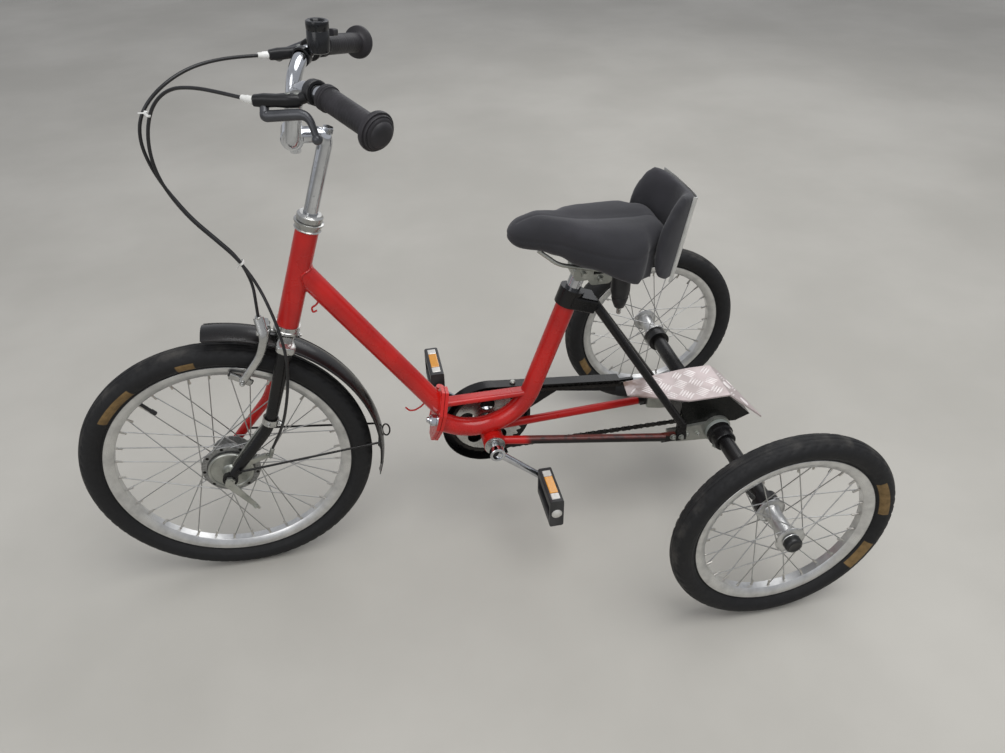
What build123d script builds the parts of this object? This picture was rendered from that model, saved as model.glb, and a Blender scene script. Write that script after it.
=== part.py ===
from build123d import *
import os
from math import cos, radians, sin, tan

# Folding child's tricycle with one steered front wheel. Millimetres, +X forward, +Y left, +Z up.
# Every x below is measured forward from the rear axle, and place() turns it into the part's frame.

os.makedirs("parts", exist_ok=True)

# Wheels and stance
WHEELBASE = 905.0
TRACK = 648.0
FRONT_TYRE_R = 248.0
REAR_TYRE_R = 198.0
TYRE_DEPTH = 39.0
TYRE_WIDTH = 44.0
RIM_WIDTH = 25.0
RIM_DEPTH = 18.0
SPOKE_R = 1.0
FRONT_SPOKES = 36
REAR_SPOKES = 28
SPOKE_LEAN = 60.0
SEAT_GAP = 0.1
RUN_GAP = 0.1
REAR_AXLE_X = -(WHEELBASE + FRONT_TYRE_R - REAR_TYRE_R) / 2

# Steering axis and head
HEAD_FOOT = (WHEELBASE - 142.0, 2 * FRONT_TYRE_R + 21.0)
HEAD_ANGLE = 19.0
HEAD_LENGTH = 170.0
HEAD_TUBE_R = 18.0
HEAD_BORE_R = 15.0
STEERER_R = 12.7
CUP_R = 23.0
CUP_HEIGHT = 14.0
LOCKNUT_HEIGHT = 13.0

# Frame tubes and hinge
TUBE_R = 17.5
SEAT_ANGLE = 19.5
SEAT_TUBE_TOP = (287.0, 514.0)
BEND_LOW = (459.0, 245.5)
BEND_R = 108.5
BEND_FRONT = 44.0
HINGE_CENTRE = (530.0, 287.0)
HINGE_TILT = 14.4
HINGE_HEIGHT = 108.0
HINGE_WIDTH = 62.0
HINGE_PLATE_T = 6.0
HINGE_GAP = 1.0
HINGE_PIN_R = 4.0
HINGE_PIN_Y = -34.0
KNUCKLE_R = 8.0
KNUCKLE_ROW = 66.0
KNUCKLE_SPLIT = 0.17
DOWN_TUBE_ON_HEAD = (HEAD_FOOT[0] - 33.0, HEAD_FOOT[1] + 95.0)
DOWN_TUBE_ON_HINGE = (526.5, 304.0)
BRACE_Z = 312.0
BRACE_SIZE = (24.0, 11.0)

# Bottom bracket, cranks and chain drive
BB_CENTRE = (434.0, 220.0)
BB_SHELL_R = 20.0
BB_HALF = 34.0
BB_CUP = 3.0
SPINDLE_R = 8.5
CRANK_LENGTH = 110.0
CRANK_ANGLE = 38.6
CHAIN_Y = -40.0
CHAINRING_R = 70.0
SPROCKET_R = 50.6
CHAIN_WIDTH = 7.0
CHAIN_DEPTH = 8.0
GUARD_Y = -52.0
GUARD_T = 1.5
GUARD_LIP_Y = -30.0
GUARD_R = 88.0
GUARD_REAR = (173.0, 282.0, 241.0)
CRANK_Y = {1: 54.0, -1: 65.0}
CRANK_R = 7.0
PEDAL_INNER_Y = {1: 74.0, -1: 77.0}
PEDAL_SIZE = (26.0, 90.0, 62.0)

# Rear carriage
STAY_END = (93.0, 60.0, 199.0)
STAY_R = 8.0
STAY_FRONT_Y = 22.0
STRUT_TOP = (245.0, 17.0, 484.0)
STRUT_FOOT = (76.0, 61.0, 226.0)
STRUT_R = 7.5
LUG_REACH = 45.0
POST_R = 13.0
RAIL_R = 3.5
CLAMP_REAR = (243.0, 0.0, 541.0)
BUMPER_X = 199.0
SADDLE_NOSE_X = 402.0
SADDLE_HALF = 84.0
SADDLE_HALF_PLAN = [(393.0, 19.0), (374.0, 26.0), (318.0, 36.0), (212.0, SADDLE_HALF), (140.0, 72.0)]
SADDLE_Z = (546.0, 661.0)
SADDLE_DOME = 46.0
SADDLE_SIDE = [(410, 625), (404, 642), (385, 654), (350, 658), (300, 649), (254, 643), (181, 639),
               (110, 638), (110, 556), (150, 547), (195, 552), (262, 580), (300, 588), (345, 608),
               (385, 614)]
SADDLE_POCKET = [(330, 20), (290, 26), (250, 52), (110, 52), (110, -52), (250, -52), (290, -26), (330, -20)]
SADDLE_POCKET_TOP = 600.0
BACK_CENTRE_X = 200.0
BACK_R = 84.0
BACK_T = 22.0
BACK_SPREAD = 80.0
BACK_LEAN = 10.0
BACK_Z = (530.0, 712.0)
BACK_SIDE = [(80, 560), (80, 668), (100, 684), (118, 696), (131, 698), (145, 688), (171, 640),
             (176, 600), (170, 565), (152, 548), (112, 538)]
BOX_X = (-17.0, 78.0)
BOX_HALF = 50.0
BOX_Z = (216.0, 270.0)
BOX_WALL = 3.0
AXLE_TUBE_R = 15.0
CARRIER_Y = (50.0, 57.0)
LUG_T = 6.0
HOUSING_Y = (57.0, 78.0)
HOUSING_R = 25.0
SHAFT_R = 7.5
HUB_IN = 42.0
HUB_OUT = 26.0
TREAD_T = 3.0

TREAD_OUTLINE = [(-20.0, -50.0), (-20.0, 50.0), (63.0, 50.0), (170.0, 7.0), (165.0, -34.0), (30.0, -50.0)]
TREAD_FALL = 40.0

# Fork, stem and handlebar
FRONT_AXLE_R = 5.0
CROWN_S = (-28.0, -14.5)
CROWN_HALF = 54.0
CROWN_DEPTH = 32.0
CROWN_ARCH = 6.0
BLADE_TOP_Y = 41.0
BLADE_KNEE_S = -180.0
BLADE_BEND_R = 135.0
BLADE_END_Y = 49.0
BLADE_R = 12.0
BLADE_TIP_R = 8.0
QUILL_R = 11.0
QUILL_FOOT = 120.0
STEM_TOP_S = 330.0
BAR_MID = (HEAD_FOOT[0] - 56.0, HEAD_FOOT[1] + 305.0)
BAR_R = 11.1
GRIP_R = 15.0
GRIP_FLANGE_R = 25.0
GRIP_END_Y = {1: 211.0, -1: 223.0}
LEVER_NOSE = {1: (-20.0, 386.0), -1: (-37.0, 391.0)}
LEVER_BLADE = {1: ((-12, 10, -18), (-66, 30, -13), (-73, 42, -42)),
               -1: ((-12, -14, -6), (-66, -38, 5), (-74, -56, -12))}
BELL_R = 16.5

# Mudguard and cables
CABLE_R = 2.5
GUARD_CENTRE = (WHEELBASE - 2.0, FRONT_TYRE_R + 8.0)
MUDGUARD_R = FRONT_TYRE_R + 21.0
MUDGUARD_EDGE_R = FRONT_TYRE_R + 13.5
MUDGUARD_HALF = 26.0
MUDGUARD_T = 1.6
MUDGUARD_FROM = 91.0
MUDGUARD_TO = 199.0


def place(x, y, z):
    """A point given from the rear axle, in the part's frame."""
    return Vector(x + REAR_AXLE_X, y, z)


def on_axis(up, forward=0.0, y=0.0):
    """A point on the steering axis, up along it from the head tube's foot, forward square to it."""
    lean = radians(HEAD_ANGLE)
    return place(
        HEAD_FOOT[0] - up * sin(lean) + forward * cos(lean), y,
        HEAD_FOOT[1] + up * cos(lean) + forward * sin(lean),
    )


def from_head(forward, y, up):
    """A point measured from the foot of the head tube."""
    return place(HEAD_FOOT[0] + forward, y, HEAD_FOOT[1] + up)


def from_axle(forward, y, up):
    """A point measured from the middle of the front axle."""
    return place(WHEELBASE + forward, y, FRONT_TYRE_R + up)


def bar(start, end, radius, bore=0.0):
    """Round bar or tube from start to end, drawn in the open part."""
    axis = end - start
    with BuildSketch(Plane(origin=start, z_dir=axis)) as section:
        Circle(radius)
        if bore:
            Circle(bore, mode=Mode.SUBTRACT)
    extrude(section.sketch, amount=axis.length)


def bore_out(start, end, radius):
    """Round hole from start to end, cut from the open part."""
    axis = end - start
    with BuildSketch(Plane(origin=start, z_dir=axis)) as section:
        Circle(radius)
    extrude(section.sketch, amount=axis.length, mode=Mode.SUBTRACT)


def across(centre, y_from, y_to):
    """The two ends of a crosswise bar through centre."""
    return Vector(centre.X, y_from, centre.Z), Vector(centre.X, y_to, centre.Z)


def swept_bar(points, radii, radius):
    """Round bar bent along points, with one bend radius for each inner point."""
    with BuildLine() as path:
        FilletPolyline(*points, radius=radii)
    with BuildSketch(Plane(origin=points[0], z_dir=points[1] - points[0])) as section:
        Circle(radius)
    sweep(section.sketch, path=path.line)


def flat_bar(points, radii, width, thickness, wide_dir):
    """Flat bar bent along points, its width along wide_dir at the start."""
    with BuildLine() as path:
        if radii:
            FilletPolyline(*points, radius=radii)
        else:
            Polyline(*points)
    with BuildSketch(Plane(origin=points[0], x_dir=wide_dir, z_dir=points[1] - points[0])) as section:
        Rectangle(width, thickness)
    sweep(section.sketch, path=path.line)


def plate(y_from, y_to, outline, mode=Mode.ADD):
    """Upright plate between two crosswise places, from an outline of (x from the rear axle, z) points."""
    upright = Plane(origin=Vector(REAR_AXLE_X, y_from, 0), x_dir=(1, 0, 0), z_dir=(0, -1, 0))
    with BuildSketch(upright) as section:
        Polygon(*outline, align=None)
    extrude(section.sketch, amount=y_from - y_to, mode=mode)


def save(piece, name):
    """Label the piece and write it."""
    piece.part.label = name
    export_step(piece.part, f"parts/{name}.step")


def wheel_plane(centre):
    """Sketch plane whose x runs along the axle and whose y runs outward from it."""
    return Plane(origin=centre, x_dir=(0, 1, 0), z_dir=(1, 0, 0))


def turned(centre, outline):
    """Solid turned round the axle from an outline of (along the axle, radius) points."""
    with BuildSketch(wheel_plane(centre)) as section:
        with BuildLine():
            Polyline(*outline, close=True)
        make_face()
    revolve(section.sketch, axis=Axis(centre, (0, 1, 0)))


def wheel(name, centre, tyre_r, spokes, flanges):
    """Tyre, rim and crossed spokes. flanges: along-axle place, hole circle and half thickness."""
    rim_edge = tyre_r - TYRE_DEPTH
    axle = Axis(centre, (0, 1, 0))
    bead = RIM_WIDTH / 2 - 0.5
    side = TYRE_WIDTH / 2
    shoulder = (side * 0.6, tyre_r - TYRE_DEPTH * 0.14)
    bulge = rim_edge + TYRE_DEPTH * 0.45
    with BuildPart() as tyre:
        with BuildSketch(wheel_plane(centre)) as section:
            with BuildLine():
                Line((-bead, rim_edge + SEAT_GAP), (bead, rim_edge + SEAT_GAP))
                ThreePointArc((bead, rim_edge + SEAT_GAP), (side, bulge), shoulder)
                ThreePointArc(shoulder, (0, tyre_r), (-shoulder[0], shoulder[1]))
                ThreePointArc((-shoulder[0], shoulder[1]), (-side, bulge), (-bead, rim_edge + SEAT_GAP))
            make_face()
        revolve(section.sketch, axis=axle)
    save(tyre, f"{name}_tyre")

    half = RIM_WIDTH / 2
    well = rim_edge - RIM_DEPTH
    with BuildPart() as rim:
        turned(centre, [(-half, rim_edge), (half, rim_edge), (half, rim_edge - RIM_DEPTH * 0.4),
                        (half * 0.6, well), (-half * 0.6, well), (-half, rim_edge - RIM_DEPTH * 0.4)])
    save(rim, f"{name}_rim")

    reach = well - 0.6
    with BuildPart() as spoke_set:
        for i in range(spokes):
            side_y, hole_r, flange_half = flanges[i % 2]
            lead = 1 if (i // 2) % 2 else -1
            inward = 1 if side_y < 0 else -1
            face = flange_half + SPOKE_R + (0.2 if lead > 0 else 0.8)
            rim_angle = radians(360.0 * i / spokes)
            hub_angle = rim_angle + lead * radians(SPOKE_LEAN)
            foot = centre + Vector(hole_r * cos(hub_angle), side_y + lead * inward * face,
                                   hole_r * sin(hub_angle))
            head = centre + Vector(reach * cos(rim_angle), -inward * 2.0, reach * sin(rim_angle))
            bar(foot, head, SPOKE_R)
    save(spoke_set, f"{name}_spokes")


# Front frame: head tube, down tube, headset cups and the front half of the hinge.
lean = radians(HINGE_TILT)
hinge_up = Vector(-sin(lean), 0, cos(lean))
hinge_normal = Vector(cos(lean), 0, sin(lean))
hinge_centre = place(HINGE_CENTRE[0], 0, HINGE_CENTRE[1])
pin_line = hinge_centre + Vector(0, HINGE_PIN_Y, 0)

with BuildPart() as head_tube:
    bar(on_axis(0), on_axis(HEAD_LENGTH), HEAD_TUBE_R, HEAD_BORE_R)
save(head_tube, "head_tube")

with BuildPart() as head_envelope:
    bar(on_axis(0), on_axis(HEAD_LENGTH), HEAD_TUBE_R)

down_top = place(DOWN_TUBE_ON_HEAD[0], 0, DOWN_TUBE_ON_HEAD[1])
down_foot = place(DOWN_TUBE_ON_HINGE[0], 0, DOWN_TUBE_ON_HINGE[1])
plate_depth = hinge_normal * (HINGE_PLATE_T + HINGE_GAP / 2)
hinge_face = Plane(origin=hinge_centre + plate_depth, z_dir=hinge_normal)
with BuildPart() as down_tube:
    bar(down_foot - (down_top - down_foot).normalized() * 30, down_top, TUBE_R)
    split(bisect_by=hinge_face, keep=Keep.TOP)
    add(head_envelope.part, mode=Mode.SUBTRACT)
save(down_tube, "down_tube")

with BuildPart() as headset_cups:
    bar(on_axis(-CUP_HEIGHT), on_axis(0), CUP_R - 2, STEERER_R + RUN_GAP)
    bar(on_axis(HEAD_LENGTH), on_axis(HEAD_LENGTH + CUP_HEIGHT), CUP_R, STEERER_R + RUN_GAP)
save(headset_cups, "headset_cups")


def hinge_plate(side):
    """One hinge plate, a diamond with its corners cut off; side +1 lies in front, -1 behind."""
    wide, tall = HINGE_WIDTH / 2, HINGE_HEIGHT / 2
    corners = [(-wide, -tall * 0.3), (-wide * 0.35, -tall), (wide * 0.35, -tall), (wide, -tall * 0.3),
               (wide, tall * 0.3), (wide * 0.35, tall), (-wide * 0.35, tall), (-wide, tall * 0.3)]
    face = Plane(origin=hinge_centre + hinge_normal * (side * HINGE_GAP / 2), x_dir=(0, 1, 0),
                 z_dir=hinge_normal)
    with BuildSketch(face) as section:
        Polygon(*corners, align=None)
    extrude(section.sketch, amount=side * HINGE_PLATE_T)


def on_pin(share):
    """A point on the hinge pin, share of the knuckle row up from its middle."""
    return pin_line + hinge_up * (share * KNUCKLE_ROW)


def knuckle(low, high):
    """One hinge knuckle between two shares of the row."""
    bar(on_pin(low), on_pin(high), KNUCKLE_R)


clamp_at = hinge_centre + Vector(0, HINGE_WIDTH / 2 - 8, 0) + hinge_up * 2
with BuildPart() as hinge_front:
    hinge_plate(1)
    bore_out(on_pin(-KNUCKLE_SPLIT), on_pin(KNUCKLE_SPLIT), KNUCKLE_R + HINGE_GAP)
    knuckle(-0.5, -KNUCKLE_SPLIT - 0.01)
    knuckle(KNUCKLE_SPLIT + 0.01, 0.5)
    bore_out(on_pin(-0.6), on_pin(0.6), HINGE_PIN_R + RUN_GAP)
save(hinge_front, "hinge_front")

with BuildPart() as hinge_clamp:
    bar(clamp_at + plate_depth, clamp_at + plate_depth + hinge_normal * 3, 10)
    with BuildSketch(Plane(origin=clamp_at + plate_depth + hinge_normal * 3, z_dir=hinge_normal)) as s:
        RegularPolygon(11, 6)
    extrude(s.sketch, amount=12)
    bar(clamp_at + plate_depth + hinge_normal * 15, clamp_at + plate_depth + hinge_normal * 20, 5)
save(hinge_clamp, "hinge_clamp_bolt")

# Rear frame: lower bend, seat tube, brace, bottom bracket shell and the rear half of the hinge.
bend_centre = (BEND_LOW[0], BEND_LOW[1] + BEND_R)


def on_bend(angle):
    """A point of the lower bend, by the angle from straight down towards the front."""
    a = radians(angle)
    return place(bend_centre[0] + BEND_R * sin(a), 0, bend_centre[1] - BEND_R * cos(a))


seat_foot = on_bend(-(90 - SEAT_ANGLE))
seat_top = place(SEAT_TUBE_TOP[0], 0, SEAT_TUBE_TOP[1])
seat_line = (seat_top - seat_foot).normalized()
hinge_back = Plane(origin=hinge_centre - plate_depth, z_dir=hinge_normal)
with BuildPart() as seat_tube:
    bar(seat_foot, seat_top, TUBE_R)
    bore_out(seat_top - seat_line * 90, seat_top, POST_R)
save(seat_tube, "seat_tube")

bb = place(BB_CENTRE[0], 0, BB_CENTRE[1])
with BuildPart() as lower_tube:
    with BuildLine() as bend_path:
        ThreePointArc(seat_foot, on_bend(-12), on_bend(BEND_FRONT))
    with BuildSketch(Plane(origin=seat_foot, z_dir=bend_path.line % 0)) as s:
        Circle(TUBE_R)
    sweep(s.sketch, path=bend_path.line)
    split(bisect_by=hinge_back, keep=Keep.BOTTOM)
    bore_out(*across(bb, -BB_HALF, BB_HALF), BB_SHELL_R)
save(lower_tube, "lower_tube")

with BuildPart() as hinge_rear:
    hinge_plate(-1)
    bore_out(on_pin(-0.6), on_pin(-KNUCKLE_SPLIT - 0.005), KNUCKLE_R + HINGE_GAP)
    bore_out(on_pin(KNUCKLE_SPLIT + 0.005), on_pin(0.6), KNUCKLE_R + HINGE_GAP)
    knuckle(-KNUCKLE_SPLIT + 0.01, KNUCKLE_SPLIT - 0.01)
    bar(on_pin(-0.56), on_pin(0.56), HINGE_PIN_R)
    bar(on_pin(0.51), on_pin(0.57), HINGE_PIN_R + 3)
    bar(on_pin(-0.57), on_pin(-0.51), HINGE_PIN_R + 3)
save(hinge_rear, "hinge_rear")

seat_post_foot = seat_top - seat_line * 80
with BuildPart() as brace_bar:
    brace_front = place(HINGE_CENTRE[0], 0, BRACE_Z)
    brace_rear = place(SEAT_TUBE_TOP[0] + 40, 0, BRACE_Z)
    with BuildSketch(Plane(origin=brace_front, x_dir=(0, 1, 0), z_dir=(-1, 0, 0))) as s:
        SlotOverall(*BRACE_SIZE)
    extrude(s.sketch, amount=brace_front.X - brace_rear.X)
    split(bisect_by=hinge_back, keep=Keep.BOTTOM)
    square_to_seat = Vector(cos(radians(SEAT_ANGLE)), 0, sin(radians(SEAT_ANGLE)))
    split(bisect_by=Plane(origin=seat_foot, z_dir=square_to_seat), keep=Keep.TOP)
    add(seat_tube.part, mode=Mode.SUBTRACT)
    add(lower_tube.part, mode=Mode.SUBTRACT)
save(brace_bar, "brace_bar")

with BuildPart() as bb_shell:
    bar(*across(bb, -BB_HALF, BB_HALF), BB_SHELL_R, BB_SHELL_R - 5)
save(bb_shell, "bottom_bracket_shell")

with BuildPart() as bb_cups:
    for side in (1, -1):
        bar(*across(bb, side * (BB_HALF - 15), side * BB_HALF), BB_SHELL_R - 5, SPINDLE_R + RUN_GAP)
        bar(*across(bb, side * BB_HALF, side * (BB_HALF + BB_CUP)), BB_SHELL_R - 1, SPINDLE_R + RUN_GAP)
save(bb_cups, "bottom_bracket_cups")

# Chain stays run from the bottom bracket shell back to the carriage plates.
for side, name in ((1, "left"), (-1, "right")):
    with BuildPart() as stay:
        stay_front = place(BB_CENTRE[0] - 14, side * STAY_FRONT_Y, BB_CENTRE[1] + 1)
        stay_end = place(STAY_END[0] + 16, side * (STAY_END[1] + 1), STAY_END[2] + 2)
        bar(stay_front, stay_end, STAY_R)
        add(lower_tube.part, mode=Mode.SUBTRACT)
        bore_out(*across(bb, -BB_HALF, BB_HALF), BB_SHELL_R)
        plate(side * CARRIER_Y[1], side * (CARRIER_Y[1] + LUG_T),
              [(STAY_END[0] + 22, STAY_END[2] - 9), (STAY_END[0] + 22, STAY_END[2] + 11),
               (STAY_END[0] - 5, STAY_END[2] + 9), (STAY_END[0] - 5, STAY_END[2] - 9)])
    save(stay, f"chain_stay_{name}")

# Seat: collar with struts, post, clamp, padded saddle and back support.
with BuildPart() as seat_collar:
    bar(seat_top - seat_line * 26, seat_top + seat_line * 6, TUBE_R + 4.5)
    bore_out(seat_top - seat_line * 26, seat_top, TUBE_R)
    bore_out(seat_top, seat_top + seat_line * 6, POST_R + SEAT_GAP)
    lug_back = Vector(-seat_line.Z, 0, seat_line.X)
    lug_face = Plane(origin=seat_top - seat_line * 14, x_dir=(0, 1, 0), z_dir=lug_back)
    with BuildSketch(lug_face) as s:
        RectangleRounded(46, 26, 5)
    extrude(s.sketch, amount=LUG_REACH)
    bore_out(seat_foot, seat_top, TUBE_R)
save(seat_collar, "seat_collar")

with BuildPart() as struts:
    for side in (1, -1):
        strut_top = place(STRUT_TOP[0], side * STRUT_TOP[1], STRUT_TOP[2])
        strut_foot = place(STRUT_FOOT[0], side * STRUT_FOOT[1], STRUT_FOOT[2])
        bar(strut_top, strut_foot, STRUT_R)
        plate(side * CARRIER_Y[1], side * (CARRIER_Y[1] + LUG_T),
              [(STRUT_FOOT[0] - 11, 189), (STRUT_FOOT[0] + 9, 189), (STRUT_FOOT[0] + 11, STRUT_FOOT[2] + 8),
               (STRUT_FOOT[0] - 8, STRUT_FOOT[2] + 6)])
    add(seat_collar.part, mode=Mode.SUBTRACT)
save(struts, "seat_struts")

with BuildPart() as seat_post:
    bar(seat_post_foot, seat_top + seat_line * 52, POST_R)
save(seat_post, "seat_post")

with BuildPart() as saddle_clamp:
    clamp_mid = seat_top + seat_line * 42
    for centre, size in ((clamp_mid, (34, 24)), (place(*CLAMP_REAR), (40, 20))):
        with BuildSketch(Plane(origin=centre - Vector(0, 20, 0), x_dir=(1, 0, 0), z_dir=(0, 1, 0))) as s:
            RectangleRounded(*size, 8)
        extrude(s.sketch, amount=40)
    bar(*across(clamp_mid, -27, 27), 5)
    bar(*across(place(*CLAMP_REAR), -27, 27), 5)
    bore_out(seat_post_foot, seat_top + seat_line * 60, POST_R + SEAT_GAP)
save(saddle_clamp, "saddle_clamp")

bumper_axis = Axis(place(BUMPER_X, 0, 0), (0, 0, 1))
with BuildPart() as saddle_frame:
    for side in (1, -1):
        rail = [place(350, side * 12, 603), place(318, side * 21, 578), place(236, side * 21, 556),
                place(190, side * 34, 584)]
        swept_bar(rail, [20, 25], RAIL_R)
    bar(place(196, -45, 586), place(196, 45, 586), RAIL_R)
    bar(place(346, -16, 606), place(346, 16, 606), RAIL_R)
    with BuildSketch(Plane(origin=place(BUMPER_X, 0, 0), x_dir=(1, 0, 0), z_dir=(0, -1, 0))) as s:
        Polygon((0, 455), (4, 455), (4.5, 469), (9, 470), (15, 489), (17, 503), (17, 588), (0, 588),
                align=None)
    revolve(s.sketch, axis=bumper_axis)
    with BuildSketch(Plane(origin=place(196, 0, 586), x_dir=(0, 1, 0), z_dir=(-1, 0, 0))) as s:
        Rectangle(30, 5)
    extrude(s.sketch, amount=196 - (BACK_CENTRE_X - BACK_R + 8))
    add(saddle_clamp.part, mode=Mode.SUBTRACT)
save(saddle_frame, "saddle_frame")


def back_shell(inner, outer, spread, side_outline):
    """Wall curved round the sitter's hips, leaning back, its edges cut to a side outline."""
    end = radians(spread)
    lean_back = radians(BACK_LEAN)
    foot = Plane(origin=place(BACK_CENTRE_X, 0, BACK_Z[0]), x_dir=(cos(lean_back), 0, sin(lean_back)),
                 z_dir=(-sin(lean_back), 0, cos(lean_back)))
    with BuildSketch(foot) as section:
        with BuildLine():
            for r in (inner, outer):
                ThreePointArc((-r * cos(end), r * sin(end)), (-r, 0), (-r * cos(end), -r * sin(end)))
            for k in (1, -1):
                Line((-inner * cos(end), k * inner * sin(end)), (-outer * cos(end), k * outer * sin(end)))
        make_face()
    extrude(section.sketch, amount=BACK_Z[1] - BACK_Z[0])
    if side_outline:
        plate(outer + 10, -outer - 10, side_outline, Mode.INTERSECT)


with BuildPart() as backrest_pad:
    back_shell(BACK_R - BACK_T, BACK_R, BACK_SPREAD, BACK_SIDE)
    add(saddle_frame.part, mode=Mode.SUBTRACT)
save(backrest_pad, "backrest_pad")
with BuildPart() as backrest_plate:
    back_shell(BACK_R + 0.2, BACK_R + 2.2, BACK_SPREAD * 0.6, BACK_SIDE)
save(backrest_plate, "backrest_plate")
with BuildPart() as back_zone:
    back_shell(BACK_R - BACK_T - 0.3, BACK_R + 40, 90, None)

with BuildPart() as saddle:
    with BuildSketch(Plane.XY.offset(SADDLE_Z[0])) as s:
        with BuildLine():
            for k in (1, -1):
                nose, cheek, waist, hip, heel = [(x + REAR_AXLE_X, k * y) for x, y in SADDLE_HALF_PLAN]
                ThreePointArc((SADDLE_NOSE_X + REAR_AXLE_X, 0), nose, cheek)
                Line(cheek, waist)
                ThreePointArc(waist, hip, heel)
            Line(heel, (heel[0], -heel[1]))
        make_face()
    extrude(s.sketch, amount=SADDLE_Z[1] - SADDLE_Z[0])
    plate(SADDLE_HALF + 10, -SADDLE_HALF - 10, SADDLE_SIDE, Mode.INTERSECT)
    with BuildSketch(Plane(origin=place(100, 0, 0), x_dir=(0, 1, 0), z_dir=(1, 0, 0))) as s:
        with BuildLine():
            ThreePointArc((-SADDLE_HALF - 1, SADDLE_Z[1] - SADDLE_DOME), (0, SADDLE_Z[1]),
                          (SADDLE_HALF + 1, SADDLE_Z[1] - SADDLE_DOME))
            Polyline((SADDLE_HALF + 1, SADDLE_Z[1] - SADDLE_DOME), (SADDLE_HALF + 1, SADDLE_Z[0]),
                     (-SADDLE_HALF - 1, SADDLE_Z[0]), (-SADDLE_HALF - 1, SADDLE_Z[1] - SADDLE_DOME))
        make_face()
    extrude(s.sketch, amount=320, mode=Mode.INTERSECT)
    with BuildSketch(Plane.XY.offset(SADDLE_Z[0] - 1)) as s:
        Polygon(*[(x + REAR_AXLE_X, y) for x, y in SADDLE_POCKET], align=None)
    extrude(s.sketch, amount=SADDLE_POCKET_TOP - SADDLE_Z[0] + 1, mode=Mode.SUBTRACT)
    add(back_zone.part, mode=Mode.SUBTRACT)
    add(saddle_frame.part, mode=Mode.SUBTRACT)
save(saddle, "saddle")

# Crankset: spindle, two cranks, chainring, and pedals that turn on the crank ends.
crank_lean = radians(CRANK_ANGLE)
crank_reach = Vector(CRANK_LENGTH * cos(crank_lean), 0, CRANK_LENGTH * sin(crank_lean))
pedal_eye = {1: bb - crank_reach, -1: bb + crank_reach}
with BuildPart() as cranks:
    bar(*across(bb, -CRANK_Y[-1], CRANK_Y[1]), SPINDLE_R)
    for side in (1, -1):
        eye = pedal_eye[side]
        boss_inner = BB_HALF + BB_CUP + 3 if side > 0 else -CHAIN_Y + 1.8
        bar(*across(bb, side * boss_inner, side * (CRANK_Y[side] + 9)), 15)
        arm_foot = Vector(bb.X, side * CRANK_Y[side], bb.Z)
        bar(arm_foot, Vector(eye.X, side * (PEDAL_INNER_Y[side] - 8), eye.Z), CRANK_R)
        bar(*across(eye, side * (PEDAL_INNER_Y[side] - 14), side * (PEDAL_INNER_Y[side] - 2)), 10.5)
        bar(*across(eye, side * (PEDAL_INNER_Y[side] - 4), side * (PEDAL_INNER_Y[side] + 70)), 4)
save(cranks, "cranks")

for side, name in ((1, "left"), (-1, "right")):
    eye = pedal_eye[side]
    inner = PEDAL_INNER_Y[side]
    outer = inner + PEDAL_SIZE[1]
    with BuildPart() as pedal:
        bar(*across(eye, side * inner, side * outer), 9)
        for y_from, y_to in ((inner, inner + 5), (outer - 5, outer)):
            cage = Plane(origin=Vector(eye.X, side * y_from, eye.Z), x_dir=(1, 0, 0), z_dir=(0, side, 0))
            with BuildSketch(cage) as s:
                RectangleRounded(PEDAL_SIZE[0], PEDAL_SIZE[2], 5)
            extrude(s.sketch, amount=y_to - y_from)
        for step in (1, -1):
            tread_z = eye.Z + step * (PEDAL_SIZE[2] / 2 - 9)
            tread = Plane(origin=Vector(eye.X, side * inner, tread_z), x_dir=(1, 0, 0), z_dir=(0, side, 0))
            with BuildSketch(tread) as s:
                RectangleRounded(PEDAL_SIZE[0], 18, 4)
            extrude(s.sketch, amount=outer - inner)
        bore_out(*across(eye, side * (inner - 1), side * (inner + 71)), 4 + RUN_GAP)
    save(pedal, f"pedal_{name}")

axle = place(0, 0, REAR_TYRE_R)
chain_plane = Plane(origin=Vector(0, CHAIN_Y, 0), x_dir=(1, 0, 0), z_dir=(0, -1, 0))


def loop_outline(grow):
    """Closed outline round chainring and sprocket, grown outward from the chain's pitch line."""
    with Locations((bb.X, bb.Z)):
        Circle(CHAINRING_R + grow)
    with Locations((axle.X, axle.Z)):
        Circle(SPROCKET_R + grow)
    make_hull()


with BuildPart() as chain:
    with BuildSketch(chain_plane) as outside:
        loop_outline(CHAIN_DEPTH / 2)
    with BuildSketch(chain_plane) as inside:
        loop_outline(-CHAIN_DEPTH / 2)
    extrude(outside.sketch, amount=CHAIN_WIDTH / 2, both=True)
    extrude(inside.sketch, amount=CHAIN_WIDTH / 2, both=True, mode=Mode.SUBTRACT)
save(chain, "chain")

with BuildPart() as chainring:
    bar(*across(bb, CHAIN_Y - 1.5, CHAIN_Y + 1.5), CHAINRING_R - CHAIN_DEPTH / 2 - 0.3, SPINDLE_R + SEAT_GAP)
    for i in range(5):
        a = radians(72 * i + 20)
        hole = bb + Vector(cos(a), 0, sin(a)) * CHAINRING_R * 0.6
        bore_out(*across(hole, CHAIN_Y - 2, CHAIN_Y + 2), CHAINRING_R * 0.2)
save(chainring, "chainring")

with BuildPart() as sprocket:
    bar(*across(axle, CHAIN_Y - 1.5, CHAIN_Y + 1.5), SPROCKET_R - CHAIN_DEPTH / 2 - 0.3)
    bar(*across(axle, CHAIN_Y + 8, CHAIN_Y - 2), 20)
    bar(*across(axle, CHAIN_Y, -TRACK / 2 - HUB_OUT - 8), SHAFT_R)
save(sprocket, "drive_sprocket")

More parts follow.
